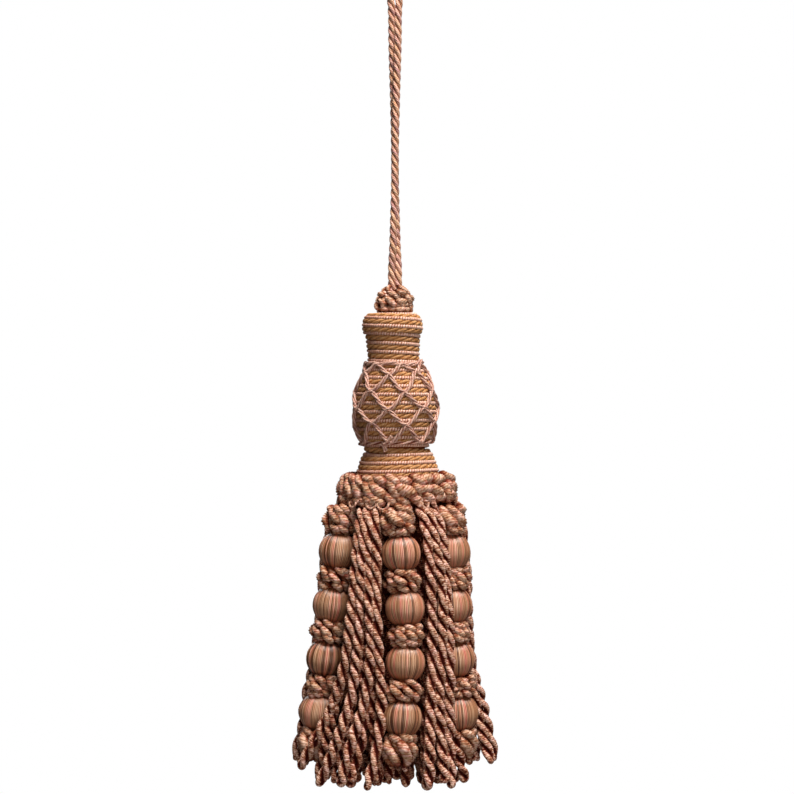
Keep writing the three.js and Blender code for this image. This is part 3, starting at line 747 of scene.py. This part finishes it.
# %% Winding
WINDING_LEAD = 2.65
WINDING_OFFSET = 0.4
CORD_RADIUS = 0.95
CORD_PITCH = -8.0
CORD_LAY = 0.47
CORD_STEP = 0.8
CORD_PLY = {"radius": 0.5, "pitch": 1.4, "sides": 7, "starts": 5}
CORD_TINTS = (0.2, 0.5, 0.8)
GIMP_RADIUS = 0.52
GIMP_STEP = 0.23
GIMP_YARN = {"radius": GIMP_RADIUS, "pitch": 0.8, "sides": 7, "ripple": 0.15, "tint": 0.3}
MEAN_RADIUS = 11
OUTLINE_STEP = 0.1
WINDING_START = 175
WINDING_END = 180
TOP_SPIRAL = [(-110.75, 3.6), (-110.6, 5.6)]
HIDDEN_BASE = [(-160.6, 12.5)]
TILT_LEVELS = (-158.0, -112.0)
TILT_DEGREES = (1.8, -1.5)


def winding_route(offset, depth, step):
    """A route round the head, one lead further along the outline at each turn, that ends at the back."""
    outline = np.array([row[::-1] for row in TOP_SPIRAL + HEAD_OUTLINE[::-1] + HIDDEN_BASE])
    outline = resampled(curve_through(outline, samples=12), OUTLINE_STEP)
    along = distance_along(outline)
    slope = unit(np.gradient(outline, axis=0))
    inward = np.stack([slope[:, 1], -slope[:, 0]], axis=1)
    middle = outline + depth * inward
    turns = (along[-1] - offset) / WINDING_LEAD
    turns -= (WINDING_START + 360 * turns - WINDING_END) % 360 / 360
    angle = np.linspace(0, turns, round(turns * TURN * MEAN_RADIUS / step))
    place = offset + angle * WINDING_LEAD
    radius = np.interp(place, along, middle[:, 0])
    level = np.interp(place, along, middle[:, 1])
    azimuth = WINDING_START + 360 * angle
    tilt = np.tan(np.radians(np.interp(level, TILT_LEVELS, TILT_DEGREES)))
    path = leaned(around(azimuth, radius, level + tilt * radius * np.sin(np.radians(azimuth))))
    outward = [np.interp(place, along, -inward[:, axis]) for axis in (0, 1)]
    return path, around(azimuth, *outward)


def head_winding():
    cord = YarnBundle()
    route, outward = winding_route(WINDING_OFFSET, CORD_RADIUS, CORD_STEP)
    lay_plies(cord, route, outward, CORD_TINTS, CORD_LAY, CORD_PITCH, CORD_PLY)
    cord.make("head_cord", OCHRE_CORD, "head_winding", ["wound_head"])
    gimp = YarnBundle()
    route, outward = winding_route(WINDING_OFFSET + WINDING_LEAD / 2, GIMP_RADIUS, GIMP_STEP)
    gimp.lay(route, sideways=outward, **GIMP_YARN)
    gimp.make("head_gimp", SALMON_GIMP, "head_winding", ["wound_head"])


head_winding()

# %% [markdown]
# ## The net
# A net of soft mauve yarn covers the belly. It could be a wireframe of a grid, but a net is worked in
# rounds, and each round is a zigzag that hangs from the knots of the round above. So each zigzag is one
# closed path here, of three filaments, with a small coil at each knot, a ring thread at the top and the
# bottom, and the ends of the last thread tied off in front.

# %% Belly net
NET_ROWS = [(-125.6, 1), (-128.4, 0), (-133.6, 1), (-138.9, 0), (-143.6, 1), (-149.2, 0)]
NET_COLUMNS = 7
NET_FIRST_KNOT = -10
NET_AZIMUTH_SLIP = 2.2
NET_LEVEL_SLIP = 0.6
NET_HEIGHT = 0.34
NET_STEP = 0.55
NET_PITCH = -9.0
FILAMENT = {"radius": 0.32, "pitch": 1.1, "sides": 7, "starts": 4}
FILAMENT_LAY = 0.34
RING_WAVE = 0.35
RING_WAVES = 9
RING_DEGREES = np.arange(0, 361, 10)
ZIGZAG_FILAMENTS = 3
TOP_FILAMENTS = 3
FOOT_FILAMENTS = 2
COIL = {"radius": 0.24, "pitch": 1.0, "sides": 6, "starts": 3}
COIL_TURNS = 2
COIL_POINTS = 25
COIL_RADIUS = 0.5
COIL_SLIP = 0.1
COIL_RISE = 0.42
COIL_LIFT = 0.05


def net_knot(row, column):
    """A knot's azimuth and level: the solid's own."""
    level, half_step = NET_ROWS[row]
    azimuth = NET_FIRST_KNOT + 360 / NET_COLUMNS * (column + half_step / 2)
    if row in (0, len(NET_ROWS) - 1):
        return azimuth, level
    place = column % NET_COLUMNS
    azimuth += NET_AZIMUTH_SLIP * unevenness(row, place)
    return azimuth, level + NET_LEVEL_SLIP * unevenness(place, row)


def on_belly(azimuth, level, height):
    return leaned(around(azimuth, head_radius(level) + height, level))


def net_yarn(bundle, flat, draws, filaments):
    """Lays filaments along a closed flat route of azimuths and levels over the belly."""
    dense = curve_through(flat, samples=10)
    middle = resampled(on_belly(dense[:, 0], dense[:, 1], NET_HEIGHT), NET_STEP)[:-1]
    out = unit(middle * (1, 1, 0) - SKIRT_AXIS)
    tints = draws.uniform(0, 1, filaments)
    lay_plies(bundle, middle, out, tints, FILAMENT_LAY, NET_PITCH, {**FILAMENT, "closed": True})


def net_coil(bundle, azimuth, level, draws):
    """A small coil round a crossing."""
    turn = np.linspace(0, COIL_TURNS, COIL_POINTS)[:, None]
    radius = COIL_RADIUS + COIL_SLIP * draws.uniform(-1, 1)
    centre = on_belly(azimuth, level, NET_HEIGHT + COIL_LIFT)
    out, side, up = around(azimuth, 1, 0), around(azimuth + 90, 1, 0), np.array([0, 0, 1.0])
    path = centre + radius * np.cos(TURN * turn) * side + (turn - COIL_TURNS / 2) * COIL_RISE * up
    path = path + radius * np.sin(TURN * turn) * out
    bundle.lay(path, sideways=up, tint=draws.uniform(0, 1), **COIL)


def belly_net():
    draws = np.random.default_rng(9)
    bundle = YarnBundle()
    last = len(NET_ROWS) - 1
    for row in range(last):
        flat = []
        for column in range(NET_COLUMNS + 1):
            flat.append(net_knot(row, column))
            flat.append(net_knot(row + 1, column + NET_ROWS[row][1]))
        net_yarn(bundle, flat[:-1], draws, ZIGZAG_FILAMENTS)
    for row, filaments in ((0, TOP_FILAMENTS), (last, FOOT_FILAMENTS)):
        levels = NET_ROWS[row][0] + wobble(draws, np.radians(RING_DEGREES), RING_WAVE, RING_WAVES)
        flat = np.column_stack([NET_FIRST_KNOT + RING_DEGREES, levels])
        net_yarn(bundle, flat, draws, filaments)
    for row in range(1, last):
        for column in range(NET_COLUMNS):
            net_coil(bundle, *net_knot(row, column), draws)
    return bundle, draws


print("knots of the net:", NET_COLUMNS * (len(NET_ROWS) - 2))

# %% Tied ends
TIE_COILS = [(-23, -149.68), (-19, -149.2), (-15, -148.72)]
TAIL_HEIGHT = NET_HEIGHT + 0.5
TAIL_RADII = (0.42, 0.3)
TIE_TAILS = [
    [(-19, -149.0), (-17.5, -150.1), (-16, -151.4)],
    [(-19, -149.0), (-20.5, -150.4), (-19, -151.9)],
    [(-19, -149.4), (-12, -148.4), (-7, -147.0)],
]


def tie_ends(bundle, draws):
    for azimuth, level in TIE_COILS:
        net_coil(bundle, azimuth, level, draws)
    for tail in TIE_TAILS:
        flat = curve_through(tail, samples=8)
        path = on_belly(flat[:, 0], flat[:, 1], TAIL_HEIGHT)
        yarn = {**FILAMENT, "radius": np.linspace(*TAIL_RADII, len(path))}
        bundle.lay(path, sideways=np.array([0.0, -1.0, 0.0]), tint=draws.uniform(0, 1), **yarn)


net_bundle, net_draws = belly_net()
tie_ends(net_bundle, net_draws)
net_bundle.make("net_yarns", ROSE_YARN, "net_yarn", ["belly_net"])

# %% [markdown]
# ## The collar
# The collar hides where the fringe is sewn on. It is thick gimp knotted round and round. A plain rope round
# the skirt would be too even, so it is rows of fat rolls: nubs along the top, then big slanted rolls with a
# row of smaller ones below them at the left of the front, and two rows of middling ones elsewhere. Ropes
# close the band behind the rolls, and a few thin loops hang from its lower edge.

# %% Collar
COLLAR = Knot(
    outline=[(-167.4, 17.2), (-165.8, 18.2), (-163.8, 18.3), (-162.2, 18.0), (-160.6, 17.7), (-158.9, 16.2)],
    rows=[
        Rolls(-159.9, 27, 18, 4.8, 1.25, -172, 188),
        Rolls(-163.0, 9, 46, 6.8, 1.7, -106, 16),
        Rolls(-166.2, 10, 30, 4.4, 1.3, -110, 12),
        Rolls(-162.5, 20, 30, 4.6, 1.25, 16, 254),
        Rolls(-165.3, 20, 34, 4.8, 1.35, 16, 254),
    ],
    rings=[
        Ring(-161.2, 14.2, 0.9, 0.9, 0.95, 2, 25),
        Ring(-164.6, 15.0, 1.2, 1.6, 1.1, 3, 28),
        Ring(-160.4, 12.6, 0.9, 0.7, 0.9, 2, 25),
        Ring(-165.6, 12.0, 1.0, 1.0, 1.0, 2, 21),
    ],
    ragged=1.5,
)
PICOTS = [(-52, -43), (-31, -20), (-19.5, -8), (24, 31), (84, 97), (140, 152), (205, 214), (268, 279)]
PICOT_LEVEL = -166.6
PICOT_DROP = 1.7
PICOT_DROP_SLIP = 0.2
PICOT_REACH = 17.8
PICOT_SWING = 0.4
PICOT_POINTS = 25
PICOT_YARN = {"radius": 0.36, "pitch": 0.75, "sides": 7, "tint": 0.1}


def picot(bundle, start, end, draws):
    """A thin loop that hangs from the collar's lower edge."""
    share = np.linspace(0, 1, PICOT_POINTS)
    hang = np.sqrt(4 * share * (1 - share))
    angle = start + share * (end - start)
    drop = PICOT_DROP * draws.uniform(1 - PICOT_DROP_SLIP, 1 + PICOT_DROP_SLIP)
    path = around(angle, PICOT_REACH + PICOT_SWING * hang, PICOT_LEVEL - drop * hang) + SKIRT_AXIS
    bundle.lay(path, sideways=around(angle, 1, 0), **PICOT_YARN)


def collar():
    draws = np.random.default_rng(21)
    bundle = YarnBundle()
    lay_knot(bundle, draws, SKIRT_AXIS, LEVEL_AXES, COLLAR)
    for start, end in PICOTS:
        picot(bundle, start, end, draws)
    bundle.make("collar_rings", TRIM_GIMP, "gimp_trim", ["collar_braid"])


collar()

# %% [markdown]
# ## The bead strings
# Six strings hang round the skirt, each of four beads with knotted ruffs between. A string is slightly
# bowed and leans outwards towards its foot. Arrays along a straight line would miss both, so the beads and
# the ruffs sit on the string by their distance along it.

# %% Strings
STRINGS = [
    {"azimuth": -65, "top": 19.4, "foot": 25.6, "bow": 0.3},
    {"azimuth": 3.3, "top": 19.4, "foot": 24.0, "bow": 1.2},
    {"azimuth": 56.5, "top": 19.0, "foot": 21.8, "bow": -0.6},
    {"azimuth": 126, "top": 19.0, "foot": 21.8, "bow": 0.8},
    {"azimuth": 181, "top": 19.4, "foot": 24.0, "bow": -0.9},
    {"azimuth": 235.5, "top": 19.4, "foot": 25.0, "bow": 0.5},
]
BEAD_LEVEL = -181.4
BEAD_PITCH = 15.8
BEADS_PER_STRING = 4
FIRST_RUFF_STATION = -8.8


def string_point(string, station):
    share = station / (BEAD_PITCH * (BEADS_PER_STRING - 1))
    radius = string["top"] + share * (string["foot"] - string["top"])
    point = around(string["azimuth"], radius, BEAD_LEVEL - station)
    sideways = around(string["azimuth"] + 90, string["bow"] * math.sin(math.pi * share), 0)
    return point + sideways + SKIRT_AXIS


def string_axes(string, station):
    """Directions at a place on a string: outwards, to the right as seen from outside, and up."""
    up = unit(string_point(string, station - 1) - string_point(string, station + 1))
    side = around(string["azimuth"] + 90, 1, 0)
    side = unit(side - np.dot(side, up) * up)
    return np.cross(side, up), side, up


print("beads:", len(STRINGS) * BEADS_PER_STRING)

# %% [markdown]
# ## The ruffs
# A ruff is a ring knot of thick gimp. It is made as the collar is, of two or three rows of fat rolls round
# the string, with a plain knotted ring inside. The first ruff of a string, under the collar, has fatter
# rolls, and the last one has long ones that end in a tuft. Copies of one ruff would show, so each starts at
# another place round the string and has slips of its own.

# %% Ruffs
FIRST_RUFF = Knot(
    outline=[(-3.9, 4.2), (-0.2, 5.7), (3.8, 4.6)],
    rows=[
        Rolls(3.7, 7, 24, 4.0, 1.0),
        Rolls(1.2, 6, 48, 7.0, 1.45),
        Rolls(-2.1, 7, 26, 3.8, 1.05),
    ],
    rings=[Ring(0.0, 1.9, 1.1, 3.5, 1.0, 3, 5, 0.1)],
)
RUFF = Knot(
    outline=[(-3.4, 4.4), (0.0, 5.8), (3.4, 4.4)],
    rows=[
        Rolls(2.2, 7, 24, 3.8, 0.95),
        Rolls(0.1, 7, 38, 4.4, 1.0),
        Rolls(-2.1, 7, 30, 3.8, 0.95),
    ],
    rings=[Ring(0.0, 1.9, 1.1, 2.6, 1.0, 3, 5)],
)
LAST_RUFF = Knot(
    outline=[(-6.6, 3.6), (-0.8, 5.8), (3.2, 4.5)],
    rows=[
        Rolls(2.2, 6, 26, 4.2, 1.1),
        Rolls(-2.0, 6, 56, 8.8, 1.4),
    ],
    rings=RUFF.rings,
)


def ruffs():
    draws = np.random.default_rng(33)
    stations = [FIRST_RUFF_STATION] + [BEAD_PITCH * (place + 0.5) for place in range(BEADS_PER_STRING)]
    knots = [FIRST_RUFF] + [RUFF] * (BEADS_PER_STRING - 1) + [LAST_RUFF]
    for number, string in enumerate(STRINGS, 1):
        bundle = YarnBundle()
        for station, knot in zip(stations, knots):
            centre, axes = string_point(string, station), string_axes(string, station)
            lay_knot(bundle, draws, centre, axes, knot, turned=draws.uniform(0, 360))
        nodes = [f"ruff_s{number}_{place}" for place in range(BEADS_PER_STRING + 1)]
        bundle.make(f"ruffs_s{number}", TRIM_GIMP, "gimp_trim", nodes)


ruffs()

# %% [markdown]
# ## The beads
# Each bead is a small wooden barrel with satin threads laid over it from end to end, in several dyes, so
# it shows fine upright stripes and a soft shine. Both ends are painted darker, as painted shade.
# A sphere with a striped picture would be flat, so the threads are raised: the bead is a short thick yarn
# whose section has a ridge for each thread. The finish gives each thread its own dye and groups of threads a
# broader band, and paints the hollows between them darker and deeper, as painted shade.

# %% Satin finish
BEAD_THREADS = 72
BEAD_STRIPES = 30
SATIN_DYES_AND_SHADE = {"Rose": "e8b09e", "Tan": "dcbc9e", "Olive": "92663e", "Painted Shade": "401006"}
# How much the painted shade deepens a bead's dye; the last colour above is the painted shade colour.
SATIN_DEEPENING = 3.8
STRIPE_EDGE = (3.0, -1.28)
BEAD_TINT = 0.3
THREAD_TINT = 0.25
FINE_ACROSS = 2.0
FINE_ALONG = 5.0
FINE_SHADE = 0.7
FINE_HEIGHT = 0.5
FULL_LIGHT = 0.22
HOLLOW_SHADE = 0.35
SHINE_TINT = (1.0, 0.92, 0.84, 1.0)


def make_satin_threads():
    group, given, made = new_group("satin threads", ["Threads", "Stripes"], SATIN_DYES_AND_SHADE)
    along, share, tint, depth = surface_values(group)
    offset = scaled(group, tint, APART["bead"])
    place = scaled(group, share, given["Threads"])
    hollow = hollow_of(group, place)
    stripe = drift(group, scaled(group, share, given["Stripes"], offset), along)
    own = chance(group, calculate(group, "ADD", calculate(group, "FLOOR", place), offset))
    pick = scaled(group, stripe, *STRIPE_EDGE)
    pick = scaled(group, tint, BEAD_TINT, pick)
    pick = scaled(group, own, THREAD_TINT, pick, clamp=True)
    dye = three_dyes(group, pick, given["Rose"], given["Tan"], given["Olive"])
    fine = drift(group, scaled(group, place, FINE_ACROSS), scaled(group, along, FINE_ALONG))
    # Painted shade: the bead's darker ends and the hollows between threads, less FULL_LIGHT all over, with
    # random fine tone, darken and deepen the dye.
    shade = scaled(group, fine, FINE_SHADE, calculate(group, "SUBTRACT", depth, FULL_LIGHT))
    shade = scaled(group, hollow, HOLLOW_SHADE, shade, clamp=True)
    colour = shaded(group, shade, dye, given["Painted Shade"], SATIN_DEEPENING)
    ridge = calculate(group, "SUBTRACT", scaled(group, fine, FINE_HEIGHT), hollow)
    feed(group, made, {"Color": colour, "Height": ridge})
    return group


satin_values = {label: srgb(code) for label, code in SATIN_DYES_AND_SHADE.items()}
satin_values.update({"Threads": BEAD_THREADS, "Stripes": BEAD_STRIPES})
SATIN = material_from("bead satin", make_satin_threads(), satin_values, roughness=0.42, bump=0.08,
                      specular=0.8, shine=SHINE_TINT)
print("threads on a bead:", BEAD_THREADS)

# %% Beads
BEAD_RADIUS = 5.75
BEAD_HALF_HEIGHT = 5.75
BEAD_HOLE = 0.7
BEAD_FULLNESS = 2.05
BEAD_LAY = 200.0
SIDES_PER_THREAD = 2
THREAD_RIPPLE = 0.008
BEAD_ARC = 0.94 * math.pi
BEAD_RINGS = 17
# How much darker the bead's ends are painted, as painted shade.
END_SHADE = 0.5


def bead_outline():
    """Heights along a bead's axis and its radius there: a barrel that closes on the hole."""
    angle = np.linspace(-0.5, 0.5, BEAD_RINGS) * BEAD_ARC
    height = BEAD_HALF_HEIGHT * np.sign(angle) * np.abs(np.sin(angle)) ** (2 / BEAD_FULLNESS)
    radius = BEAD_RADIUS * np.abs(np.cos(angle)) ** (2 / BEAD_FULLNESS)
    return height, np.maximum(radius, BEAD_HOLE)


def beads():
    draws = np.random.default_rng(57)
    height, radius = bead_outline()
    painted_end_shade = END_SHADE * np.abs(height / BEAD_HALF_HEIGHT) ** 3
    for number, string in enumerate(STRINGS, 1):
        bundle = YarnBundle()
        for place in range(BEADS_PER_STRING):
            station = BEAD_PITCH * place
            out, _, up = string_axes(string, station)
            path = string_point(string, station) + height[:, None] * up
            bundle.lay(path, radius, out, BEAD_LAY, BEAD_THREADS * SIDES_PER_THREAD, starts=BEAD_THREADS,
                       ripple=THREAD_RIPPLE, follow=True, tint=draws.uniform(0, 1), depth=painted_end_shade)
        nodes = [f"bead_s{number}_{place + 1}" for place in range(BEADS_PER_STRING)]
        bundle.make(f"beads_s{number}", SATIN, "bead_satin", nodes)


beads()

# %% [markdown]
# ## The bullion fringe
# Bullion is a long loop of gimp that is let twist round itself, so each strand is two plies that end in
# a closed bend. Hair curves would be quick to comb, but have no plies, so each ply is laid. The strands
# start inside the collar, come out from under it and spread down to the foot, on the same routes as the
# solid's strands. The table gives the first and the last strand of each layer between two strings, and
# the strands between them share out the difference.

# %% Strand routes
STRAND_TOP = -168.2
STRAND_ROOT = -165.6
STRAND_FOOT = -247.2
STRAND_FOOT_SLIP = 1.6
SIDE_LIFT = 4.5
STRAND_REACH_SLIP = 0.6
SHOULDER_SHARE = 0.05
ROUTE_POINTS = 110
HIDDEN_POINTS = 4
# A layer's depth is painted shade: strands further in are painted darker.
LAYERS = {
    "front": {"root": 16.6, "drop": 0.0, "depth": 0.0},
    "back": {"root": 14.2, "drop": 0.0, "depth": 0.42},
    "middle": {"root": 12.9, "drop": 0.6, "depth": 0.6},
    "core": {"root": 11.6, "drop": 1.2, "depth": 0.7},
}
# The first and the last strand have their azimuth at the top, the middle and the foot, and their reach,
# which is the foot's distance from the axis. The shoulder is the distance just under the collar.
Strands = namedtuple("Strands", "layer count shoulder flare first last")
FRINGE = [
    Strands("front", 4, 20.4, 1.0, (-36.0, -34.0, -61.0, 30.6), (-21.5, -11.8, -16.0, 29.4)),
    Strands("back", 4, 16.8, 1.0, (-37.0, -34.0, -55.0, 29.5), (-21.5, -18.0, -14.5, 26.0)),
    Strands("front", 3, 21.4, 1.0, (23.5, 23.0, 19.5, 29.4), (36.5, 38.0, 31.0, 29.4)),
    Strands("back", 3, 16.8, 1.0, (26.8, 26.5, 20.5, 26.6), (33.7, 35.0, 45.0, 26.6)),
    Strands("front", 4, 19.9, 2.3, (78.5, 76.0, 73.0, 28.4), (104.0, 107.0, 110.0, 28.4)),
    Strands("back", 4, 15.3, 2.0, (80.0, 79.5, 77.0, 23.0), (102.5, 103.0, 105.5, 23.0)),
    Strands("front", 3, 20.4, 1.0, (147.5, 144.0, 140.0, 29.4), (159.5, 163.0, 167.0, 29.4)),
    Strands("back", 2, 16.8, 1.0, (150.0, 146.5, 143.0, 26.6), (157.0, 160.5, 164.0, 26.6)),
    Strands("front", 3, 20.4, 1.0, (202.5, 199.0, 195.0, 29.4), (214.0, 217.5, 221.5, 29.4)),
    Strands("back", 2, 16.8, 1.0, (205.0, 201.5, 198.0, 26.6), (211.5, 215.0, 218.5, 26.6)),
    Strands("front", 3, 19.9, 1.2, (257.5, 253.5, 249.5, 29.4), (273.0, 277.0, 281.0, 29.4)),
    Strands("back", 3, 16.3, 1.2, (259.5, 256.0, 252.5, 26.6), (271.0, 274.5, 278.0, 26.6)),
]
MIDDLE_STRANDS = 3
MIDDLE_INWARD = 3.6
MIDDLE_ASIDE = 1.0
CORE_STRANDS = 44
CORE_REACHES = (12.6, 18.0)


def strand_route(layer, shoulder, flare, edge):
    """A strand's middle line: down from the heading, out under the collar, and down to its foot."""
    top, middle, foot, reach = edge
    root = LAYERS[layer]["root"]
    reach = reach + STRAND_REACH_SLIP * unevenness(foot, root)
    lift = SIDE_LIFT * math.sin(math.radians(foot)) ** 4
    foot_level = STRAND_FOOT - LAYERS[layer]["drop"] + lift + STRAND_FOOT_SLIP * unevenness(root, foot)
    share = np.linspace(0, 1, ROUTE_POINTS)
    out = 1 - np.exp(-share / SHOULDER_SHARE)
    radius = root + out * (shoulder - root) + share ** flare * (reach - shoulder)
    bowed = 4 * share * (1 - share)
    azimuth = top + share * (foot - top) + bowed * (middle - (top + foot) / 2)
    level = STRAND_TOP + share * (foot_level - STRAND_TOP)
    hidden = around(top, root, np.linspace(STRAND_ROOT, STRAND_TOP, HIDDEN_POINTS, endpoint=False))
    return np.vstack([hidden, around(azimuth, radius, level)]) + SKIRT_AXIS


print("strands in the table:", sum(row.count for row in FRINGE))

# %% Bullion strands
PLY_RADIUS = 0.9
PLY_LAY = 0.68
PLY_LOOSENESS = 0.16
PLY_OPENING = 0.3
BEND_LAY = 0.85
BULLION_PITCH = -10.4
PITCH_SLIP = 0.16
SWAY_TURNS = (0.8, 1.8)
TWIST_SLIP = 0.5
TWIST_TURNS = (2, 4)
LOOSE_TURNS = (3, 6)
BEND_SHARE = 0.06
BEND_POINTS = 9
GIMP_WRAP = 0.62
GIMP_STARTS = 3
# The share of a strand's painted shade that fades away towards its foot, which is painted lighter.
FOOT_LIGHT = 0.7
OUTER_MESH = {"step": 0.85, "sides": 8, "sway": 0.9}
CORE_MESH = {"step": 1.4, "sides": 6, "sway": 0.2}


def slow_wave(draws, share, turns):
    """A wave along a strand with a random start and a random number of turns between two."""
    return np.sin(TURN * (share * draws.uniform(*turns) + draws.uniform(0, 1)))[:, None]


def bullion_strand(bundle, route, azimuth, draws, mesh, depth):
    """Two plies that turn round a route and join in a bend at its foot."""
    middle = resampled(route, mesh["step"])
    share = np.linspace(0, 1, len(middle))
    free = mesh["sway"] * np.sqrt(share)[:, None]
    for direction in (azimuth + 90, azimuth):
        middle = middle + free * slow_wave(draws, share, SWAY_TURNS) * around(direction, 1, 0)
    ahead = unit(np.gradient(middle, axis=0))
    across, other = cross_axes(ahead, around(azimuth, 1, 0))
    pitch = BULLION_PITCH * draws.uniform(1 - PITCH_SLIP, 1 + PITCH_SLIP)
    angle = TURN * (distance_along(middle) / pitch + draws.uniform(0, 1))[:, None]
    angle = angle + TWIST_SLIP * slow_wave(draws, share, TWIST_TURNS)
    out = np.cos(angle) * across + np.sin(angle) * other
    opening = np.clip((share - (1 - BEND_SHARE)) / BEND_SHARE, 0, 1)[:, None]
    loose = PLY_LAY + PLY_OPENING * share[:, None] ** 2
    loose = loose + PLY_LOOSENESS * slow_wave(draws, share, LOOSE_TURNS)
    lay = loose + (BEND_LAY - loose) * opening
    bend = np.linspace(0, math.pi, BEND_POINTS)[1:-1, None]
    round_bend = np.cos(bend) * out[-1] + np.sin(bend) * ahead[-1]
    foot = middle[-1] + BEND_LAY * round_bend
    path = np.vstack([middle + lay * out, foot, (middle - lay * out)[::-1]])
    away = np.vstack([out, round_bend, -out[::-1]])
    run = np.concatenate([share, np.ones(len(bend)), share[::-1]])
    # The depth is painted shade, lighter towards the foot.
    bundle.lay(path, PLY_RADIUS, away, GIMP_WRAP, mesh["sides"], starts=GIMP_STARTS,
               tint=draws.uniform(0, 1), depth=depth * (1 - FOOT_LIGHT * run))


print("a strand's thickness in mm:", 2 * (PLY_LAY + PLY_RADIUS))

# %% Layers of strands
def layer_strands(bundle, row, draws):
    """The strands of one layer between two strings, from the row's first one to its last."""
    first, last = np.array(row.first), np.array(row.last)
    for strand in range(row.count):
        edge = first + strand / (row.count - 1) * (last - first)
        route = strand_route(row.layer, row.shoulder, row.flare, edge)
        bullion_strand(bundle, route, edge[0], draws, OUTER_MESH, LAYERS[row.layer]["depth"])


def middle_row(back):
    """The layer behind a back layer: further in, and further from the strings."""
    aside = np.array([MIDDLE_ASIDE] * 3 + [0.0])
    inward = np.array([0.0] * 3 + [MIDDLE_INWARD])
    return Strands("middle", MIDDLE_STRANDS, back.shoulder - MIDDLE_INWARD, back.flare,
                   back.first + aside - inward, back.last - aside - inward)


def bullion_fringe():
    draws = np.random.default_rng(71)
    for gap in range(len(STRINGS)):
        front, back = FRINGE[2 * gap:2 * gap + 2]
        bundle = YarnBundle()
        for row in (front, back, middle_row(back)):
            layer_strands(bundle, row, draws)
        bundle.make(f"fringe_gap_{gap + 1}", BULLION_GIMP, "bullion", ["bullion_fringe"])
    bundle = YarnBundle()
    for strand in range(CORE_STRANDS):
        azimuth = 360 * strand / CORE_STRANDS
        edge = (azimuth, azimuth, azimuth, CORE_REACHES[strand % len(CORE_REACHES)])
        route = strand_route("core", LAYERS["core"]["root"], 1.0, edge)
        bullion_strand(bundle, route, azimuth, draws, CORE_MESH, LAYERS["core"]["depth"])
    bundle.make("fringe_core", BULLION_GIMP, "bullion", ["bullion_fringe"])


bullion_fringe()

# %% [markdown]
# ## The studio
# The photograph is a tassel on pure white under broad soft light from above and in front. The floor and
# the backdrop are one large pale dish, so no corner shows. A dish lit to pure white would also light the
# tassel from below, so it shows plain white to the camera and is a matt grey to all other light.

# %% Floor and backdrop
DISH_PROFILE = [(0, -900), (2500, -900), (3600, -700), (4300, -100), (4600, 1200), (4600, 4000)]
DISH_STEPS = 64
DISH_GREY = (0.2, 0.2, 0.2, 1.0)


def studio_dish():
    material = bpy.data.materials.new("studio white")
    material.use_nodes = True
    tree = material.node_tree
    tree.nodes.remove(tree.nodes["Principled BSDF"])
    seen = new_node(tree, "ShaderNodeEmission").outputs[0]
    matt = new_node(tree, "ShaderNodeBsdfDiffuse", {"Color": DISH_GREY}).outputs[0]
    rays = new_node(tree, "ShaderNodeLightPath").outputs["Is Camera Ray"]
    either = new_node(tree, "ShaderNodeMixShader", {"Fac": rays, 1: matt, 2: seen}).outputs[0]
    feed(tree, tree.nodes["Material Output"], {"Surface": either})
    dish = placed("studio_dish", mesh_of(spun(DISH_PROFILE, DISH_STEPS), "studio_dish", material))
    print("dish faces:", len(dish.data.polygons))


studio_dish()

# %% Lights
LIGHTS = [
    {"name": "key", "place": (0.28, -0.48, 1.25), "size": 0.6, "power": 47},
    {"name": "fill", "place": (0.3, -1.35, -0.1), "size": 0.9, "power": 8},
    {"name": "back", "place": (-0.3, 1.3, 0.5), "size": 1.0, "power": 20},
]
LIGHT_TARGET = (0, 0, -0.15)
WORLD_STRENGTH = 0.02


def aim(lamp, target):
    """Turns a lamp's -Z axis towards a place."""
    direction = np.array(target) - np.array(lamp.location)
    flat = math.hypot(direction[0], direction[1])
    turn = math.atan2(direction[1], direction[0]) - math.pi / 2
    lamp.rotation_euler = (math.atan2(flat, -direction[2]), 0, turn)


for row in LIGHTS:
    area = bpy.data.lights.new(row["name"], "AREA")
    area.size = row["size"]
    area.energy = row["power"]
    light = placed(row["name"], area)
    light.location = row["place"]
    aim(light, LIGHT_TARGET)

world = bpy.data.worlds.new("studio")
world.use_nodes = True
sky = world.node_tree
feed(sky, sky.nodes["Background"], {"Color": (1, 1, 1, 1), "Strength": WORLD_STRENGTH})
bpy.context.scene.world = world
bpy.context.scene.view_settings.view_transform = "Standard"
print("lights:", len(LIGHTS), "triangles in all:", sum(TRIANGLES))
